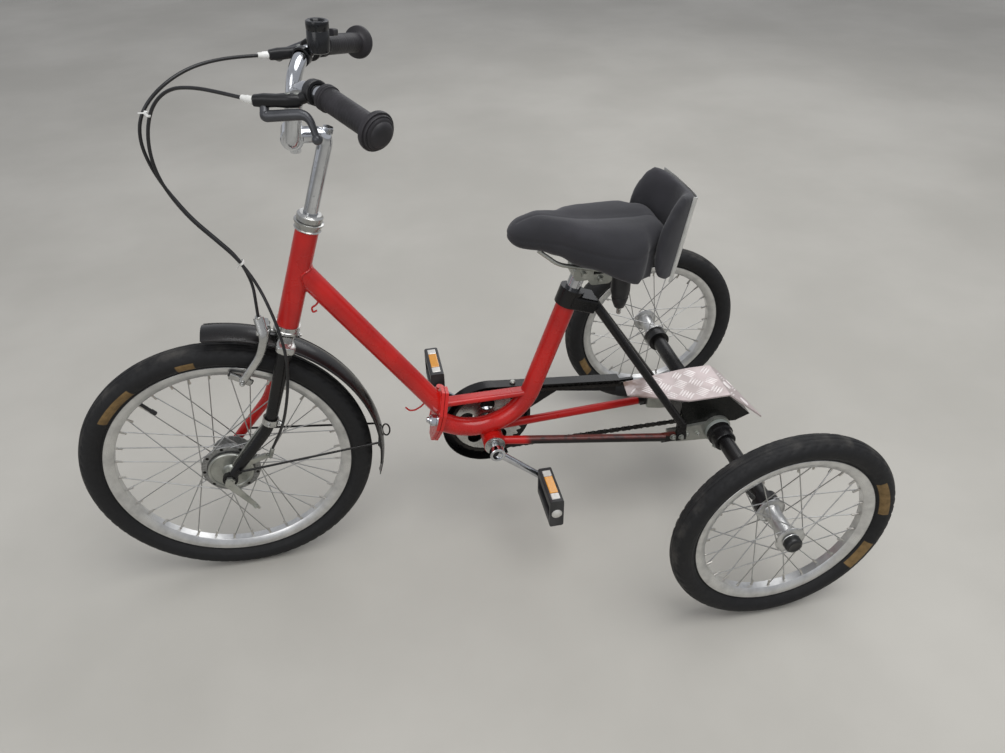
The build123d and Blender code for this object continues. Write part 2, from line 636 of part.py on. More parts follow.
guard_plane = Plane(origin=Vector(0, GUARD_Y, 0), x_dir=(1, 0, 0), z_dir=(0, -1, 0))
with BuildPart() as chain_guard:
    with BuildSketch(guard_plane) as s:
        with Locations((bb.X, bb.Z)):
            Circle(GUARD_R)
        rear_x = GUARD_REAR[0] + REAR_AXLE_X
        Polygon((bb.X, bb.Z), (bb.X, bb.Z + GUARD_R), (rear_x, GUARD_REAR[1]), (rear_x, GUARD_REAR[2]),
                (bb.X - 140, 262), (bb.X - GUARD_R, bb.Z + 10), align=None)
    extrude(s.sketch, amount=GUARD_Y - GUARD_LIP_Y)
    with BuildSketch(guard_plane.offset(-GUARD_T)) as hollow:
        add(offset(s.sketch, amount=-GUARD_T, mode=Mode.PRIVATE))
    extrude(hollow.sketch, amount=GUARD_Y - GUARD_LIP_Y, mode=Mode.SUBTRACT)
    with BuildSketch(guard_plane.offset(-GUARD_T)) as clear:
        loop_outline(CHAIN_DEPTH / 2 + 5)
    extrude(clear.sketch, amount=GUARD_Y - GUARD_LIP_Y, mode=Mode.SUBTRACT)
    bore_out(*across(bb, GUARD_Y - 1, GUARD_LIP_Y), 28)
    bar(place(356, GUARD_Y + 1, 217), place(356, -34, 217), 4)
    plate(GUARD_Y, GUARD_Y + 6, [(140, 265), (178, 265), (178, 270), (140, 270)])
    add(stay.part, mode=Mode.SUBTRACT)
save(chain_guard, "chain_guard")

# Rear carriage: folded box, tread plate, carrier plates, bearing housings and the two axle tubes.
with BuildPart() as carriage_box:
    plate(BOX_HALF, -BOX_HALF,
          [(BOX_X[0], BOX_Z[1]), (BOX_X[1], BOX_Z[1]), (71, 214), (-40, 207), (-68, 219)])
    plate(BOX_HALF - BOX_WALL, BOX_WALL - BOX_HALF,
          [(BOX_X[0] + 1.3, BOX_Z[1] - BOX_WALL), (90, BOX_Z[1] - BOX_WALL), (90, 190), (-90, 190)],
          Mode.SUBTRACT)
save(carriage_box, "carriage_box")

with BuildPart() as tread_plate:
    with BuildSketch(Plane.XY.offset(BOX_Z[1])) as s:
        Polygon(*[(x + REAR_AXLE_X, y) for x, y in TREAD_OUTLINE], align=None)
    extrude(s.sketch, amount=TREAD_T)
    fall = radians(TREAD_FALL)
    slope = Plane(origin=place(TREAD_OUTLINE[0][0], 0, BOX_Z[1] + TREAD_T), x_dir=(0, 1, 0),
                  z_dir=(-sin(fall), 0, cos(fall)))
    with BuildSketch(slope) as s:
        Polygon((-50, 0), (50, 0), (56, 94), (-50, 26), align=None)
    extrude(s.sketch, amount=-TREAD_T)
    for side in (1, -1):
        bore_out(place(STRUT_TOP[0], side * STRUT_TOP[1], STRUT_TOP[2]),
                 place(STRUT_FOOT[0], side * STRUT_FOOT[1], STRUT_FOOT[2]), STRUT_R + 0.2)
save(tread_plate, "tread_plate")

with BuildPart() as carriers:
    for side in (1, -1):
        inside, outside = side * CARRIER_Y[0], side * CARRIER_Y[1]
        bar(*across(axle, inside, outside), 28)
        plate(inside, outside, [(0, 222), (18, 216), (103, 213), (103, 187), (76, 181), (12, 176)])
        bore_out(*across(axle, inside, outside), AXLE_TUBE_R + SEAT_GAP)
save(carriers, "carrier_plates")

with BuildPart() as housings:
    for side in (1, -1):
        bar(*across(axle, side * HOUSING_Y[0], side * HOUSING_Y[1]), HOUSING_R, AXLE_TUBE_R + SEAT_GAP)
        bar(*across(axle, side * HOUSING_Y[1], side * (HOUSING_Y[1] + 20)), HOUSING_R - 4,
            AXLE_TUBE_R + SEAT_GAP)
save(housings, "bearing_housings")

tube_end = TRACK / 2 - HUB_IN - 6
with BuildPart() as axle_tubes:
    for side in (1, -1):
        bar(*across(axle, side * CARRIER_Y[0], side * tube_end), AXLE_TUBE_R, AXLE_TUBE_R - 2.5)
        bar(*across(axle, side * (tube_end - 20), side * tube_end), HOUSING_R - 2, AXLE_TUBE_R)
        for y_from in (CARRIER_Y[0], tube_end - 20):
            bar(*across(axle, side * y_from, side * (y_from + 20)), AXLE_TUBE_R - 2, SHAFT_R + RUN_GAP)
save(axle_tubes, "axle_tubes")

# Wheels.
for side, name in ((1, "left"), (-1, "right")):
    hub_centre = Vector(axle.X, side * TRACK / 2, axle.Z)
    flanges = [(-side * HUB_IN, 25.5, 1.5), (side * HUB_OUT, 25.5, 1.5)]
    wheel(f"rear_{name}", hub_centre, REAR_TYRE_R, REAR_SPOKES, flanges)
    with BuildPart() as hub:
        near, far = side * (TRACK / 2 - HUB_IN), side * (TRACK / 2 + HUB_OUT)
        bar(*across(axle, near - side * 1.5, far + side * 18), 14)
        bar(*across(axle, near - side * 1.5, near + side * 1.5), 26)
        bar(*across(axle, far - side * 1.5, far + side * 1.5), 26)
        bar(*across(axle, far + side * 2, far + side * 18), 15)
        if side > 0:
            bar(*across(axle, CARRIER_Y[0] + 2, near), SHAFT_R)
        else:
            bore_out(*across(axle, near + 2, far - 8), SHAFT_R + SEAT_GAP)
    save(hub, f"rear_{name}_hub")

front_axle = place(WHEELBASE, 0, FRONT_TYRE_R)
wheel("front", front_axle, FRONT_TYRE_R, FRONT_SPOKES, [(20.0, 49.5, 2.0), (-27.0, 33.5, 1.5)])
with BuildPart() as front_hub:
    bar(*across(front_axle, 18, 22), 50)
    bar(*across(front_axle, 2, 22), 42)
    bar(*across(front_axle, -28.5, 3), 16)
    bar(*across(front_axle, -28.5, -25.5), 34)
    bore_out(*across(front_axle, -29, 23), FRONT_AXLE_R + RUN_GAP)
save(front_hub, "front_hub")

# Fork, axle and brake plate.
with BuildPart() as crown:
    bar(on_axis(CROWN_S[0]), on_axis(HEAD_LENGTH + CUP_HEIGHT + LOCKNUT_HEIGHT), STEERER_R)
    bore_out(on_axis(QUILL_FOOT), on_axis(HEAD_LENGTH + CUP_HEIGHT + LOCKNUT_HEIGHT), QUILL_R + SEAT_GAP)
    crown_plane = Plane(origin=on_axis(CROWN_S[0]), x_dir=(0, 1, 0), z_dir=on_axis(1) - on_axis(0))
    with BuildSketch(crown_plane) as s:
        RectangleRounded(2 * CROWN_HALF, CROWN_DEPTH, 12)
    extrude(s.sketch, amount=CROWN_S[1] - CROWN_S[0])
    with BuildSketch(crown_plane) as s:
        Rectangle(56, CROWN_DEPTH + 2)
    extrude(s.sketch, amount=CROWN_ARCH, mode=Mode.SUBTRACT)
    bar(on_axis(HEAD_LENGTH + CUP_HEIGHT + 0.5), on_axis(HEAD_LENGTH + CUP_HEIGHT + LOCKNUT_HEIGHT),
        CUP_R - 3, STEERER_R - 1)
save(crown, "fork_crown")

blades = {}
for side, name in ((1, "left"), (-1, "right")):
    top = on_axis(CROWN_S[0] + 1, 0, side * BLADE_TOP_Y)
    knee = on_axis(BLADE_KNEE_S, 0, side * BLADE_TOP_Y * 1.1)
    hole = Vector(front_axle.X, side * BLADE_END_Y, front_axle.Z)
    end = hole + (knee - hole).normalized() * 12
    with BuildPart() as blade:
        with BuildLine() as path:
            FilletPolyline(top, knee, end, radius=[BLADE_BEND_R])
        with BuildSketch(Plane(origin=top, z_dir=knee - top)) as upper:
            Circle(BLADE_R)
        with BuildSketch(Plane(origin=end, z_dir=end - knee)) as lower:
            Circle(BLADE_TIP_R)
        sweep([upper.sketch, lower.sketch], path=path.line, multisection=True)
        bar(*across(front_axle, side * (BLADE_END_Y - 4), side * (BLADE_END_Y + 4)), 13)
        bore_out(*across(front_axle, side * 20, side * 80), FRONT_AXLE_R + SEAT_GAP)
        add(crown.part, mode=Mode.SUBTRACT)
    blades[side] = blade
    save(blade, f"fork_blade_{name}")

with BuildPart() as axle_bar:
    bar(*across(front_axle, -60, 60), FRONT_AXLE_R)
    for side in (1, -1):
        with BuildSketch(Plane(origin=Vector(front_axle.X, side * (BLADE_END_Y + 4), front_axle.Z),
                               x_dir=(1, 0, 0), z_dir=(0, side, 0))) as s:
            RegularPolygon(8.5, 6)
        extrude(s.sketch, amount=5)
save(axle_bar, "front_axle")

with BuildPart() as brake_plate:
    bar(*across(front_axle, 24.5, 30), 39)
    bar(*across(front_axle, 30, BLADE_END_Y - 4.2), 11)
    flat_bar([from_axle(-12, 31, 14), from_axle(-67, 31, 82), from_axle(-85, 31, 104)], [20], 5, 16,
             (0, 1, 0))
    flat_bar([from_axle(-12, 28, 6), from_axle(-67, 31, 27)], [], 5, 12, (0, 1, 0))
    bar(from_axle(-71, 34, 23), from_axle(-79, 34, 43), 4)
    bore_out(*across(front_axle, 20, 80), FRONT_AXLE_R + SEAT_GAP)
    add(blades[1].part, mode=Mode.SUBTRACT)
save(brake_plate, "brake_plate")

# Stem, handlebar, grips, levers and bell.
with BuildPart() as stem:
    bar(on_axis(QUILL_FOOT), on_axis(STEM_TOP_S), QUILL_R)
    bar(on_axis(STEM_TOP_S - 8), place(BAR_MID[0], 0, BAR_MID[1]), 11)
    bar(*across(place(BAR_MID[0], 0, BAR_MID[1]), -20, 20), BAR_R + 5)
    bore_out(*across(place(BAR_MID[0], 0, BAR_MID[1]), -21, 21), BAR_R + SEAT_GAP)
save(stem, "stem")


def bar_side(k):
    """The handlebar's corners on one side, from the clamp out to the end."""
    elbow = from_head(-105, k * 118, 394)
    reach = GRIP_END_Y[k] - 118
    return [place(BAR_MID[0], k * 44, BAR_MID[1]), from_head(-73, k * 58, 388), elbow,
            elbow + Vector(-0.656, k, -0.24) * reach]


bar_points = bar_side(-1)[::-1] + bar_side(1)
with BuildPart() as handlebar:
    swept_bar(bar_points, [60, 30, 25, 25, 30, 60], BAR_R)
save(handlebar, "handlebar")

with BuildPart() as grips:
    for side in (1, -1):
        elbow, tip = bar_side(side)[2:]
        along = (tip - elbow).normalized()
        bar(elbow + along * 18, tip + along * 7, GRIP_R)
        for grow, start, end in ((-3, -10, -5), (0, -5, 1), (-3, 1, 5)):
            bar(tip + along * start, tip + along * end, GRIP_FLANGE_R + grow)
        bar(tip + along * 5, tip + along * 12, GRIP_FLANGE_R - 8)
        bore_out(elbow, tip, BAR_R + SEAT_GAP)
save(grips, "grips")

with BuildPart() as levers:
    for side in (1, -1):
        inner_end, elbow = bar_side(side)[1:3]
        along = (elbow - inner_end).normalized()
        ring = inner_end + along * 54
        nose = from_head(LEVER_NOSE[side][0], side * 95, LEVER_NOSE[side][1])
        heel = nose + Vector(-61, side * 13, -1)
        bar(ring - along * 6, ring + along * 6, BAR_R + 5)
        bar(ring, heel + Vector(8, 0, 0), 7)
        bar(heel, nose, 8.5)
        hinge_at, knuckle_at, ball_at = [nose + Vector(*offset) for offset in LEVER_BLADE[side]]
        bar(nose + Vector(-14, side * 2, -2), hinge_at, 7)
        bar(hinge_at, knuckle_at, 4.5)
        bar(knuckle_at, ball_at, 4.5)
        with Locations(ball_at):
            Sphere(7)
    add(handlebar.part, mode=Mode.SUBTRACT)
    add(grips.part, mode=Mode.SUBTRACT)
save(levers, "brake_levers")

with BuildPart() as bell:
    bell_foot = from_head(-109, -78, 394)
    bar(bell_foot, bell_foot + Vector(-3, 0, 44), BELL_R)
    inner_end, elbow = bar_side(-1)[1:3]
    along = (elbow - inner_end).normalized()
    ring = inner_end + along * 24
    bar(ring - along * 5, ring + along * 5, BAR_R + 3)
    bar(ring, bell_foot + Vector(0, 0, 6), 6)
    add(handlebar.part, mode=Mode.SUBTRACT)
    add(levers.part, mode=Mode.SUBTRACT)
save(bell, "bell")

# Mudguard with its stays, caliper and the two cables.
guard_centre = place(GUARD_CENTRE[0], 0, GUARD_CENTRE[1])
with BuildPart() as mudguard:
    start = radians(MUDGUARD_FROM)
    lip = MUDGUARD_T / 4
    front_end = Plane(origin=guard_centre, x_dir=(0, 1, 0), z_dir=(sin(start), 0, -cos(start)))
    with BuildSketch(front_end) as s:
        with BuildLine():
            ThreePointArc((-MUDGUARD_HALF, MUDGUARD_EDGE_R), (0, MUDGUARD_R),
                          (MUDGUARD_HALF, MUDGUARD_EDGE_R))
            Line((MUDGUARD_HALF, MUDGUARD_EDGE_R), (MUDGUARD_HALF - lip, MUDGUARD_EDGE_R - MUDGUARD_T))
            ThreePointArc((MUDGUARD_HALF - lip, MUDGUARD_EDGE_R - MUDGUARD_T), (0, MUDGUARD_R - MUDGUARD_T),
                          (lip - MUDGUARD_HALF, MUDGUARD_EDGE_R - MUDGUARD_T))
            Line((lip - MUDGUARD_HALF, MUDGUARD_EDGE_R - MUDGUARD_T), (-MUDGUARD_HALF, MUDGUARD_EDGE_R))
        make_face()
    revolve(s.sketch, axis=Axis(guard_centre, (0, -1, 0)), revolution_arc=MUDGUARD_TO - MUDGUARD_FROM)
    bar(on_axis(CROWN_S[0] + CROWN_ARCH - 8), on_axis(CROWN_S[0] + CROWN_ARCH), 8)
save(mudguard, "front_mudguard")

with BuildPart() as mudguard_stays:
    for side in (1, -1):
        stay_eye = from_axle(-20, side * 60, 22)
        edge_x = guard_centre.X - MUDGUARD_EDGE_R + 0.5
        bar(stay_eye, Vector(edge_x, side * (MUDGUARD_HALF + 1.6), stay_eye.Z - 7), 2)
        bar(*across(stay_eye, side * 52, side * 62), 4)
        add(blades[side].part, mode=Mode.SUBTRACT)
    add(mudguard.part, mode=Mode.SUBTRACT)
save(mudguard_stays, "mudguard_stays")

bolt_s = CROWN_S[1] - 4
pivot = on_axis(bolt_s, CROWN_DEPTH / 2 + 12)
with BuildPart() as caliper:
    bar(on_axis(bolt_s, -CROWN_DEPTH / 2 - 9), pivot, 3)
    bar(on_axis(bolt_s, CROWN_DEPTH / 2 + 6), on_axis(bolt_s, CROWN_DEPTH / 2 + 17), 5)
    bar(on_axis(bolt_s, -CROWN_DEPTH / 2 - 8), on_axis(bolt_s, -CROWN_DEPTH / 2), 4.3)
    stop, anchor = from_head(41, 20, 28), from_head(43, 20, 9)
    for top, side, drop, bend in ((stop, 1, -3, 12), (pivot, -1, -7, 10)):
        swept_bar([top, from_head(37, side * 33, drop), from_head(49, side * 33, -35),
                   from_axle(-56, side * 33, FRONT_TYRE_R - 60)], [bend, 20], 5)
    bar(pivot, anchor, 5)
    bar(pivot, from_head(37, 33, -5), 5)
    for side in (1, -1):
        shoe = from_axle(-52, 0, FRONT_TYRE_R - 63)
        bar(from_axle(-56, side * 34, FRONT_TYRE_R - 60), across(shoe, side * 18, 0)[0], 5)
        bar(*across(shoe, side * 15.5, side * 21), 7)
    add(crown.part, mode=Mode.SUBTRACT)
save(caliper, "brake_caliper")


def cable(points):
    """Brake cable bent along its route, each bend using nine tenths of the shorter run beside it."""
    radii = []
    for before, at, after in zip(points, points[1:], points[2:]):
        turn = radians((at - before).get_angle(after - at))
        radii.append(0.45 * min((at - before).length, (after - at).length) / tan(turn / 2))
    swept_bar(points, radii, CABLE_R)


def shared_run(y):
    """The stretch where both cables hang side by side ahead of the head tube."""
    return [from_head(116, y, 365), from_head(131, y, 334), from_head(137, y, 298), from_head(134, y, 262),
            from_head(122, y, 228), from_head(104, y, 194), from_head(80, y, 162), from_head(53, y, 125)]


with BuildPart() as caliper_cable:
    cable([from_head(LEVER_NOSE[-1][0], -95, LEVER_NOSE[-1][1]), from_head(6, -76, 397),
           from_head(52, -45, 399), from_head(86, -21, 391), from_head(117, -6, 372),
           from_head(138, 0, 347), from_head(146, 0, 316), from_head(143, 0, 285),
           from_head(134, 0, 254), from_head(120, 0, 224)]
          + shared_run(0)[-3:]
          + [from_head(40, 6, 83), from_head(40, 16, 55), from_head(41, 20, 28)])
    add(levers.part, mode=Mode.SUBTRACT)
    add(caliper.part, mode=Mode.SUBTRACT)
save(caliper_cable, "cable_caliper")

with BuildPart() as drum_cable:
    cable([from_head(-20, 95, 386), from_head(18, 73, 392), from_head(56, 46, 394), from_head(89, 20, 387)]
          + shared_run(2 * CABLE_R + 0.6)
          + [from_head(31, 20, 86), from_head(17, 40, 46), from_head(8, 57, 5), from_head(7, 62, -39),
             from_head(13, 62, -79), from_head(22, 60, -119), from_axle(-109, 55, 112),
             from_axle(-94, 45, 75), from_axle(-79, 34, 43)])
    add(levers.part, mode=Mode.SUBTRACT)
    add(brake_plate.part, mode=Mode.SUBTRACT)
save(drum_cable, "cable_drum")
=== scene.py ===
from math import cos, pi, radians, sin

import bmesh
import bpy
import numpy as np
from mathutils import Matrix


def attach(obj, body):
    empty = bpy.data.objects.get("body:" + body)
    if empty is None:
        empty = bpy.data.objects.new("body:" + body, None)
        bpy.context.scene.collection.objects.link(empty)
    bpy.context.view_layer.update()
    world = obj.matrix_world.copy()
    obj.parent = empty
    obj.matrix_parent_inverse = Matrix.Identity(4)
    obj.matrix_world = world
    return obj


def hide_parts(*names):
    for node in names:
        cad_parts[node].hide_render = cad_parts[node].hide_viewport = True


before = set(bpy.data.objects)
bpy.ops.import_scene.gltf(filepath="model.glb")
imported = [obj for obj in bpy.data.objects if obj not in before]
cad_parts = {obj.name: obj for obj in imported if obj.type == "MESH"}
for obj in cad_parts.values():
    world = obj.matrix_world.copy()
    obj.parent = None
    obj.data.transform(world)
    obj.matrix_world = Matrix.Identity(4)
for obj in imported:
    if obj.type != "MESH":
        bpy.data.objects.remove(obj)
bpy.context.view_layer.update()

# Camera: above the trike's left side and level with its middle, turned a little to the front.
def placed(name, data):
    """New object in the scene."""
    made = bpy.data.objects.new(name, data)
    bpy.context.scene.collection.objects.link(made)
    return made


camera = placed("camera", bpy.data.cameras.new("camera"))
camera.matrix_world = Matrix((
    (-0.97816, -0.13386, 0.15901, 0.1693),
    (0.20734, -0.57469, 0.79167, 1.1767),
    (-0.01459, 0.80735, 0.58989, 1.2281),
    (0.0, 0.0, 0.0, 1.0),
))
camera.data.sensor_width = 36.0
camera.data.lens = 29.5
bpy.context.scene.camera = camera


# Brake cables: steel wire in a smooth black plastic jacket, 5 mm thick. Each leaves a lever through
# a pale plastic ferrule, hangs in a loop ahead of the head tube, and ends in its brake's stop.
# Two pale ties hold the pair together.
def fill(node, values):
    """Sets inputs of a shader node: a Socket is linked to its input, any other value is typed in."""
    for key, value in values.items():
        if isinstance(value, Socket):
            value.tree.links.new(value.link, node.inputs[key])
        else:
            node.inputs[key].default_value = value


class Socket:
    """One output of a shader node. Sums, differences, products and powers of it add Math nodes."""

    def __init__(self, tree, link):
        self.tree, self.link = tree, link

    def node(self, kind, inputs, out=0, **settings):
        """Any other node, from its inputs and settings."""
        new = self.tree.nodes.new(kind)
        for key, value in settings.items():
            setattr(new, key, value)
        fill(new, inputs)
        return Socket(self.tree, new.outputs[out])

    def maths(self, operation, first, second=0.0):
        return self.node("ShaderNodeMath", {0: first, 1: second}, operation=operation)

    def __add__(self, other):
        return self.maths("ADD", self, other)

    __radd__ = __add__

    def __sub__(self, other):
        return self.maths("SUBTRACT", self, other)

    def __rsub__(self, other):
        return self.maths("SUBTRACT", other, self)

    def __mul__(self, other):
        return self.maths("MULTIPLY", self, other)

    __rmul__ = __mul__

    def __pow__(self, other):
        return self.maths("POWER", self, other)

    def noise(self, scale, detail=3.0, roughness=0.55):
        """Soft noise from 0 to 1 at this point."""
        return self.node("ShaderNodeTexNoise", {"Vector": self, "Scale": scale, "Detail": detail, "Roughness":
            roughness})

    def rise(self, low, high):
        """0 below low, 1 above high, and smooth between them."""
        return self.node("ShaderNodeMapRange", {0: self, 1: low, 2: high}, interpolation_type="SMOOTHSTEP")

    def mix(self, first, second):
        """The colour first where this is 0 and second where it is 1, each a socket or a paint chip."""
        first, second = [c if isinstance(c, Socket) else tint(*c) for c in (first, second)]
        return self.node("ShaderNodeMix", {0: self, 6: first, 7: second}, 2, data_type="RGBA")

    def stretched(self, scale):
        """This point with each coordinate multiplied."""
        return self.node("ShaderNodeMapping", {"Vector": self, "Scale": scale})

    def parts(self):
        """The point's three coordinates."""
        return [self.node("ShaderNodeSeparateXYZ", {0: self}, k) for k in range(3)]


def tint(red, green, blue):
    """Shader colour of a paint chip read as 0 to 255."""
    chip = np.array([red, green, blue]) / 255
    linear = np.where(chip > 0.04045, ((chip + 0.055) / 1.055) ** 2.4, chip / 12.92)
    return (*linear.tolist(), 1.0)


def finish(name, build, **fixed):
    """New material. build(point) gives its colour, its roughness and, where it has relief, the height
    and depth of that."""
    made = bpy.data.materials.new(name)
    made.use_nodes = True
    tree = made.node_tree
    point = Socket(tree, tree.nodes.new("ShaderNodeTexCoord").outputs["Object"])
    colour, rough, *relief = build(point)
    values = {key.replace("_", " "): value for key, value in fixed.items()}
    values.update({"Base Color": colour, "Roughness": rough})
    if relief:
        height, depth = relief
        values["Normal"] = point.node("ShaderNodeBump", {"Height": height, "Distance": depth, "Strength":
            1.0})
    fill(tree.nodes["Principled BSDF"], values)
    return made


def plastic(dark, light, rough, grain=900.0, depth=0.00008):
    """Moulded plastic: two close shades in soft patches, a fine even grain and handled patches."""
    def build(point):
        patches = point.noise(35.0, 4.0)
        return (patches.rise(0.35, 0.7).mix(dark, light), rough + 0.16 * point.noise(60.0, 3.0) - 0.06,
                point.noise(grain, 2.0), depth)
    return build


jacket = finish("cable_jacket", plastic((16, 16, 17), (30, 30, 31), 0.34, 1500.0, 0.00003))
pale_plastic = finish("pale_plastic", plastic((205, 205, 200), (230, 230, 226), 0.4))


LEFT, UP = (0, 1, 0), (0, 0, 1)
axle_back = 477.5


def at(*point):
    """Metres in the part's frame from millimetres measured from the floor under the rear axle, which lies
    axle_back behind the frame's origin."""
    return (np.asarray(point, float) - (axle_back, 0, 0)) / 1000


def grid_mesh(name, grids, sharp=38.0):
    """Mesh of point grids, each point joined to its neighbours by quads, with coinciding points merged."""
    points, quads, start = [], [], 0
    for grid in grids:
        rows, columns = grid.shape[:2]
        r, c = np.meshgrid(np.arange(rows - 1), np.arange(columns - 1), indexing="ij")
        first = start + r * columns + c
        quads.append(np.stack([first, first + columns, first + columns + 1, first + 1], -1).reshape(-1, 4))
        points.append(grid.reshape(-1, 3))
        start += rows * columns
    mesh = bpy.data.meshes.new(name)
    mesh.from_pydata(np.concatenate(points), [], np.concatenate(quads))
    shape = bmesh.new()
    shape.from_mesh(mesh)
    bmesh.ops.remove_doubles(shape, verts=shape.verts, dist=2e-6)
    bmesh.ops.dissolve_degenerate(shape, edges=shape.edges, dist=1e-7)
    bmesh.ops.recalc_face_normals(shape, faces=shape.faces)
    shape.to_mesh(mesh)
    shape.free()
    mesh.shade_smooth()
    mesh.set_sharp_from_angle(angle=radians(sharp))
    return mesh


def piece(name, grids, material, body, stands_for=(), sharp=38.0):
    """A finished piece of the trike, riding on its body."""
    made = placed(name, grid_mesh(name, grids, sharp))
    made.data.materials.append(material)
    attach(made, body)
    if stands_for:
        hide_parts(*stands_for)
    return made


def unit(vector):
    """The vector at length one."""
    vector = np.asarray(vector, float)
    return vector / np.linalg.norm(vector, axis=-1, keepdims=True)


def square_pair(direction):
    """Two unit vectors square to the direction and to each other."""
    direction = unit(direction)
    helper = np.array([0.0, 0.0, 1.0]) if abs(direction[2]) < 0.8 else np.array([1.0, 0.0, 0.0])
    side = unit(np.cross(helper, direction))
    return side, np.cross(direction, side)


def turned(origin, direction, profile, around=40):
    """Turned shape. A profile point (along, radius), in millimetres, sweeps the circle
    origin + along · direction + radius · (cos a · side + sin a · up)."""
    along, radius = np.asarray(profile, float).T / 1000
    direction = unit(direction)
    side, up = square_pair(direction)
    a = np.linspace(0, 2 * pi, around + 1)
    ring = np.cos(a)[:, None] * side + np.sin(a)[:, None] * up
    return origin + along[:, None, None] * direction + radius[:, None, None] * ring


def rod(start, end, radius, edge=0.4, around=24):
    """Straight round bar between two points in metres, its ends flat with a small chamfer."""
    length = np.linalg.norm(np.subtract(end, start)) * 1000
    profile = [(0, 0), (0, radius - edge), (edge, radius), (length - edge, radius), (length, radius - edge),
               (length, 0)]
    return turned(np.asarray(start), np.subtract(end, start), profile, around)


route_caliper = at((726, -95, 908), (769, -76, 914), (815, -45, 916), (849, -21, 908), (880, -6, 889),
    (901, 0, 864), (909, 0, 833), (906, 0, 802), (897, 0, 771), (883, 0, 741), (867, 0, 711), (843, 0, 679),
    (816, 0, 642), (803, 6, 600), (803, 16, 572), (804, 20, 545))
route_drum = at((743, 95, 903), (781, 73, 909), (819, 46, 911), (852, 20, 904), (879, 5.6, 882),
    (894, 5.6, 851), (900, 5.6, 815), (897, 5.6, 779), (885, 5.6, 745), (867, 5.6, 711), (843, 5.6, 679),
    (816, 5.6, 642), (794, 20, 603), (780, 40, 563), (771, 57, 522), (770, 62, 478), (776, 62, 438),
    (785, 60, 398), (796, 55, 360), (811, 45, 323), (826, 34, 291))

cable_parts = {}
for name, route in (("cable_caliper", route_caliper), ("cable_drum", route_drum)):
    data = bpy.data.curves.new(name + "_line", "CURVE")
    data.dimensions = "3D"
    spline = data.splines.new("NURBS")
    spline.points.add(len(route) - 1)
    spline.points.foreach_set("co", np.c_[route, np.ones(len(route))].ravel())
    spline.order_u = 3
    spline.use_endpoint_u = True
    spline.resolution_u = 10
    line = placed(name + "_line", data)
    run = bpy.data.meshes.new_from_object(line)
    followed = np.empty(len(run.vertices) * 3)
    run.vertices.foreach_get("co", followed)
    followed = followed.reshape(-1, 3)
    length = float(np.linalg.norm(np.diff(followed, axis=0), axis=1).sum())
    data.bevel_depth = 0.0025
    data.bevel_resolution = 4
    data.use_fill_caps = True
    data.materials.append(jacket)
    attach(line, "steering")
    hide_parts(name)
    start, onward = route[0], route[1] - route[0]
    ferrule = piece(name + "_ferrule", [turned(start, onward, [(-2, 0), (-2, 4.6), (-1.4, 5.1), (8, 5.1),
        (9, 4.4), (15, 4.0), (16, 3.4), (16, 0)])], pale_plastic, "steering")
    cable_parts[name] = (line, route, length, [ferrule])

# The two ties: a flat strap round both cables and its small square lock.
tie_pieces = []
ties = [(at(888, 3.2, 868), (0.45, 0, -0.9)), (at(812, 6.2, 637), (-0.5, 0.1, -0.87))]
for tie, (place, onward) in enumerate(ties):
    onward = unit(onward)
    thick_way = np.cross(onward, LEFT)
    a = np.linspace(0, 2 * pi, 33)
    loop = np.cos(a)[:, None] * np.array(LEFT) * 0.0066 + np.sin(a)[:, None] * thick_way * 0.0036
    strap = np.stack([place + loop * grow + onward * lift for grow, lift in ((1.0, -0.0016), (1.13, -0.0016),
        (1.13, 0.0016), (1.0, 0.0016), (1.0, -0.0016))])
    outside = place + thick_way * 0.004
    lock = rod(outside - onward * 0.0025, outside + onward * 0.0025, 2.6, 0.3, 4)
    tail = rod(outside, place + thick_way * 0.013 + onward * 0.004, 1.0, 0.2, 6)
    tie_pieces.append(piece(f"cable_tie_{tie + 1}", [strap, lock, tail], pale_plastic, "steering"))

for name, (line, route, length, extras) in cable_parts.items():
    extras + (tie_pieces if name == "cable_drum" else [])

# Floor and light: a pale seamless floor under one wide soft lamp, a weaker one in front, and a pale
# world, so that the shadows stay soft and a colour shows about as it is written.
corners = np.stack(np.meshgrid([-9.0, 9.0], [-9.0, 9.0], [0.0], indexing="ij"), -1)[:, :, 0]
floor = placed("floor", grid_mesh("floor", [corners]))
floor.data.materials.append(finish("floor_paint", lambda point: (
    point.noise(1.3, 5.0).rise(0.3, 0.75).mix((172, 169, 161), (186, 183, 175)), 0.75)))

lamps = (("key", (-0.6, 0.8, 3.2), 2.6, 62.0), ("fill", (2.4, 2.6, 2.2), 2.4, 26.0),
         ("back", (-1.5, -2.6, 2.4), 2.4, 22.0))
for name, place, size, power in lamps:
    lamp = placed(name, bpy.data.lights.new(name, "AREA"))
    lamp.data.shape = "DISK"
    lamp.data.size = size
    lamp.data.energy = power
    lamp.location = place
    back = unit(np.array(place) - (0, 0, 0.4))
    side, up = square_pair(back)
    lamp.rotation_euler = Matrix(np.stack([side, np.cross(back, side), back], 1).tolist()).to_euler()

world = bpy.data.worlds.new("studio")
bpy.context.scene.world = world
world.use_nodes = True
world.node_tree.nodes["Background"].inputs[0].default_value = (0.92, 0.94, 1.0, 1.0)
world.node_tree.nodes["Background"].inputs[1].default_value = 0.55
bpy.context.scene.view_settings.view_transform = "Standard"


# Wheels: black rubber road tyres on polished alloy rims, laced with crossed steel spokes that screw
# into nickel nipples. Each tyre's sides carry a few plain tan bands and its tread three ribs with
# slanted cuts at the shoulders.
def polar(point, centre):
    """A shader point's distance from an axle, its angle round it and its place along it."""
    x, y, z = point.parts()
    forward, height = x - centre[0], z - centre[2]
    return (forward ** 2 + height ** 2) ** 0.5, forward.maths("ARCTAN2", height, forward), y


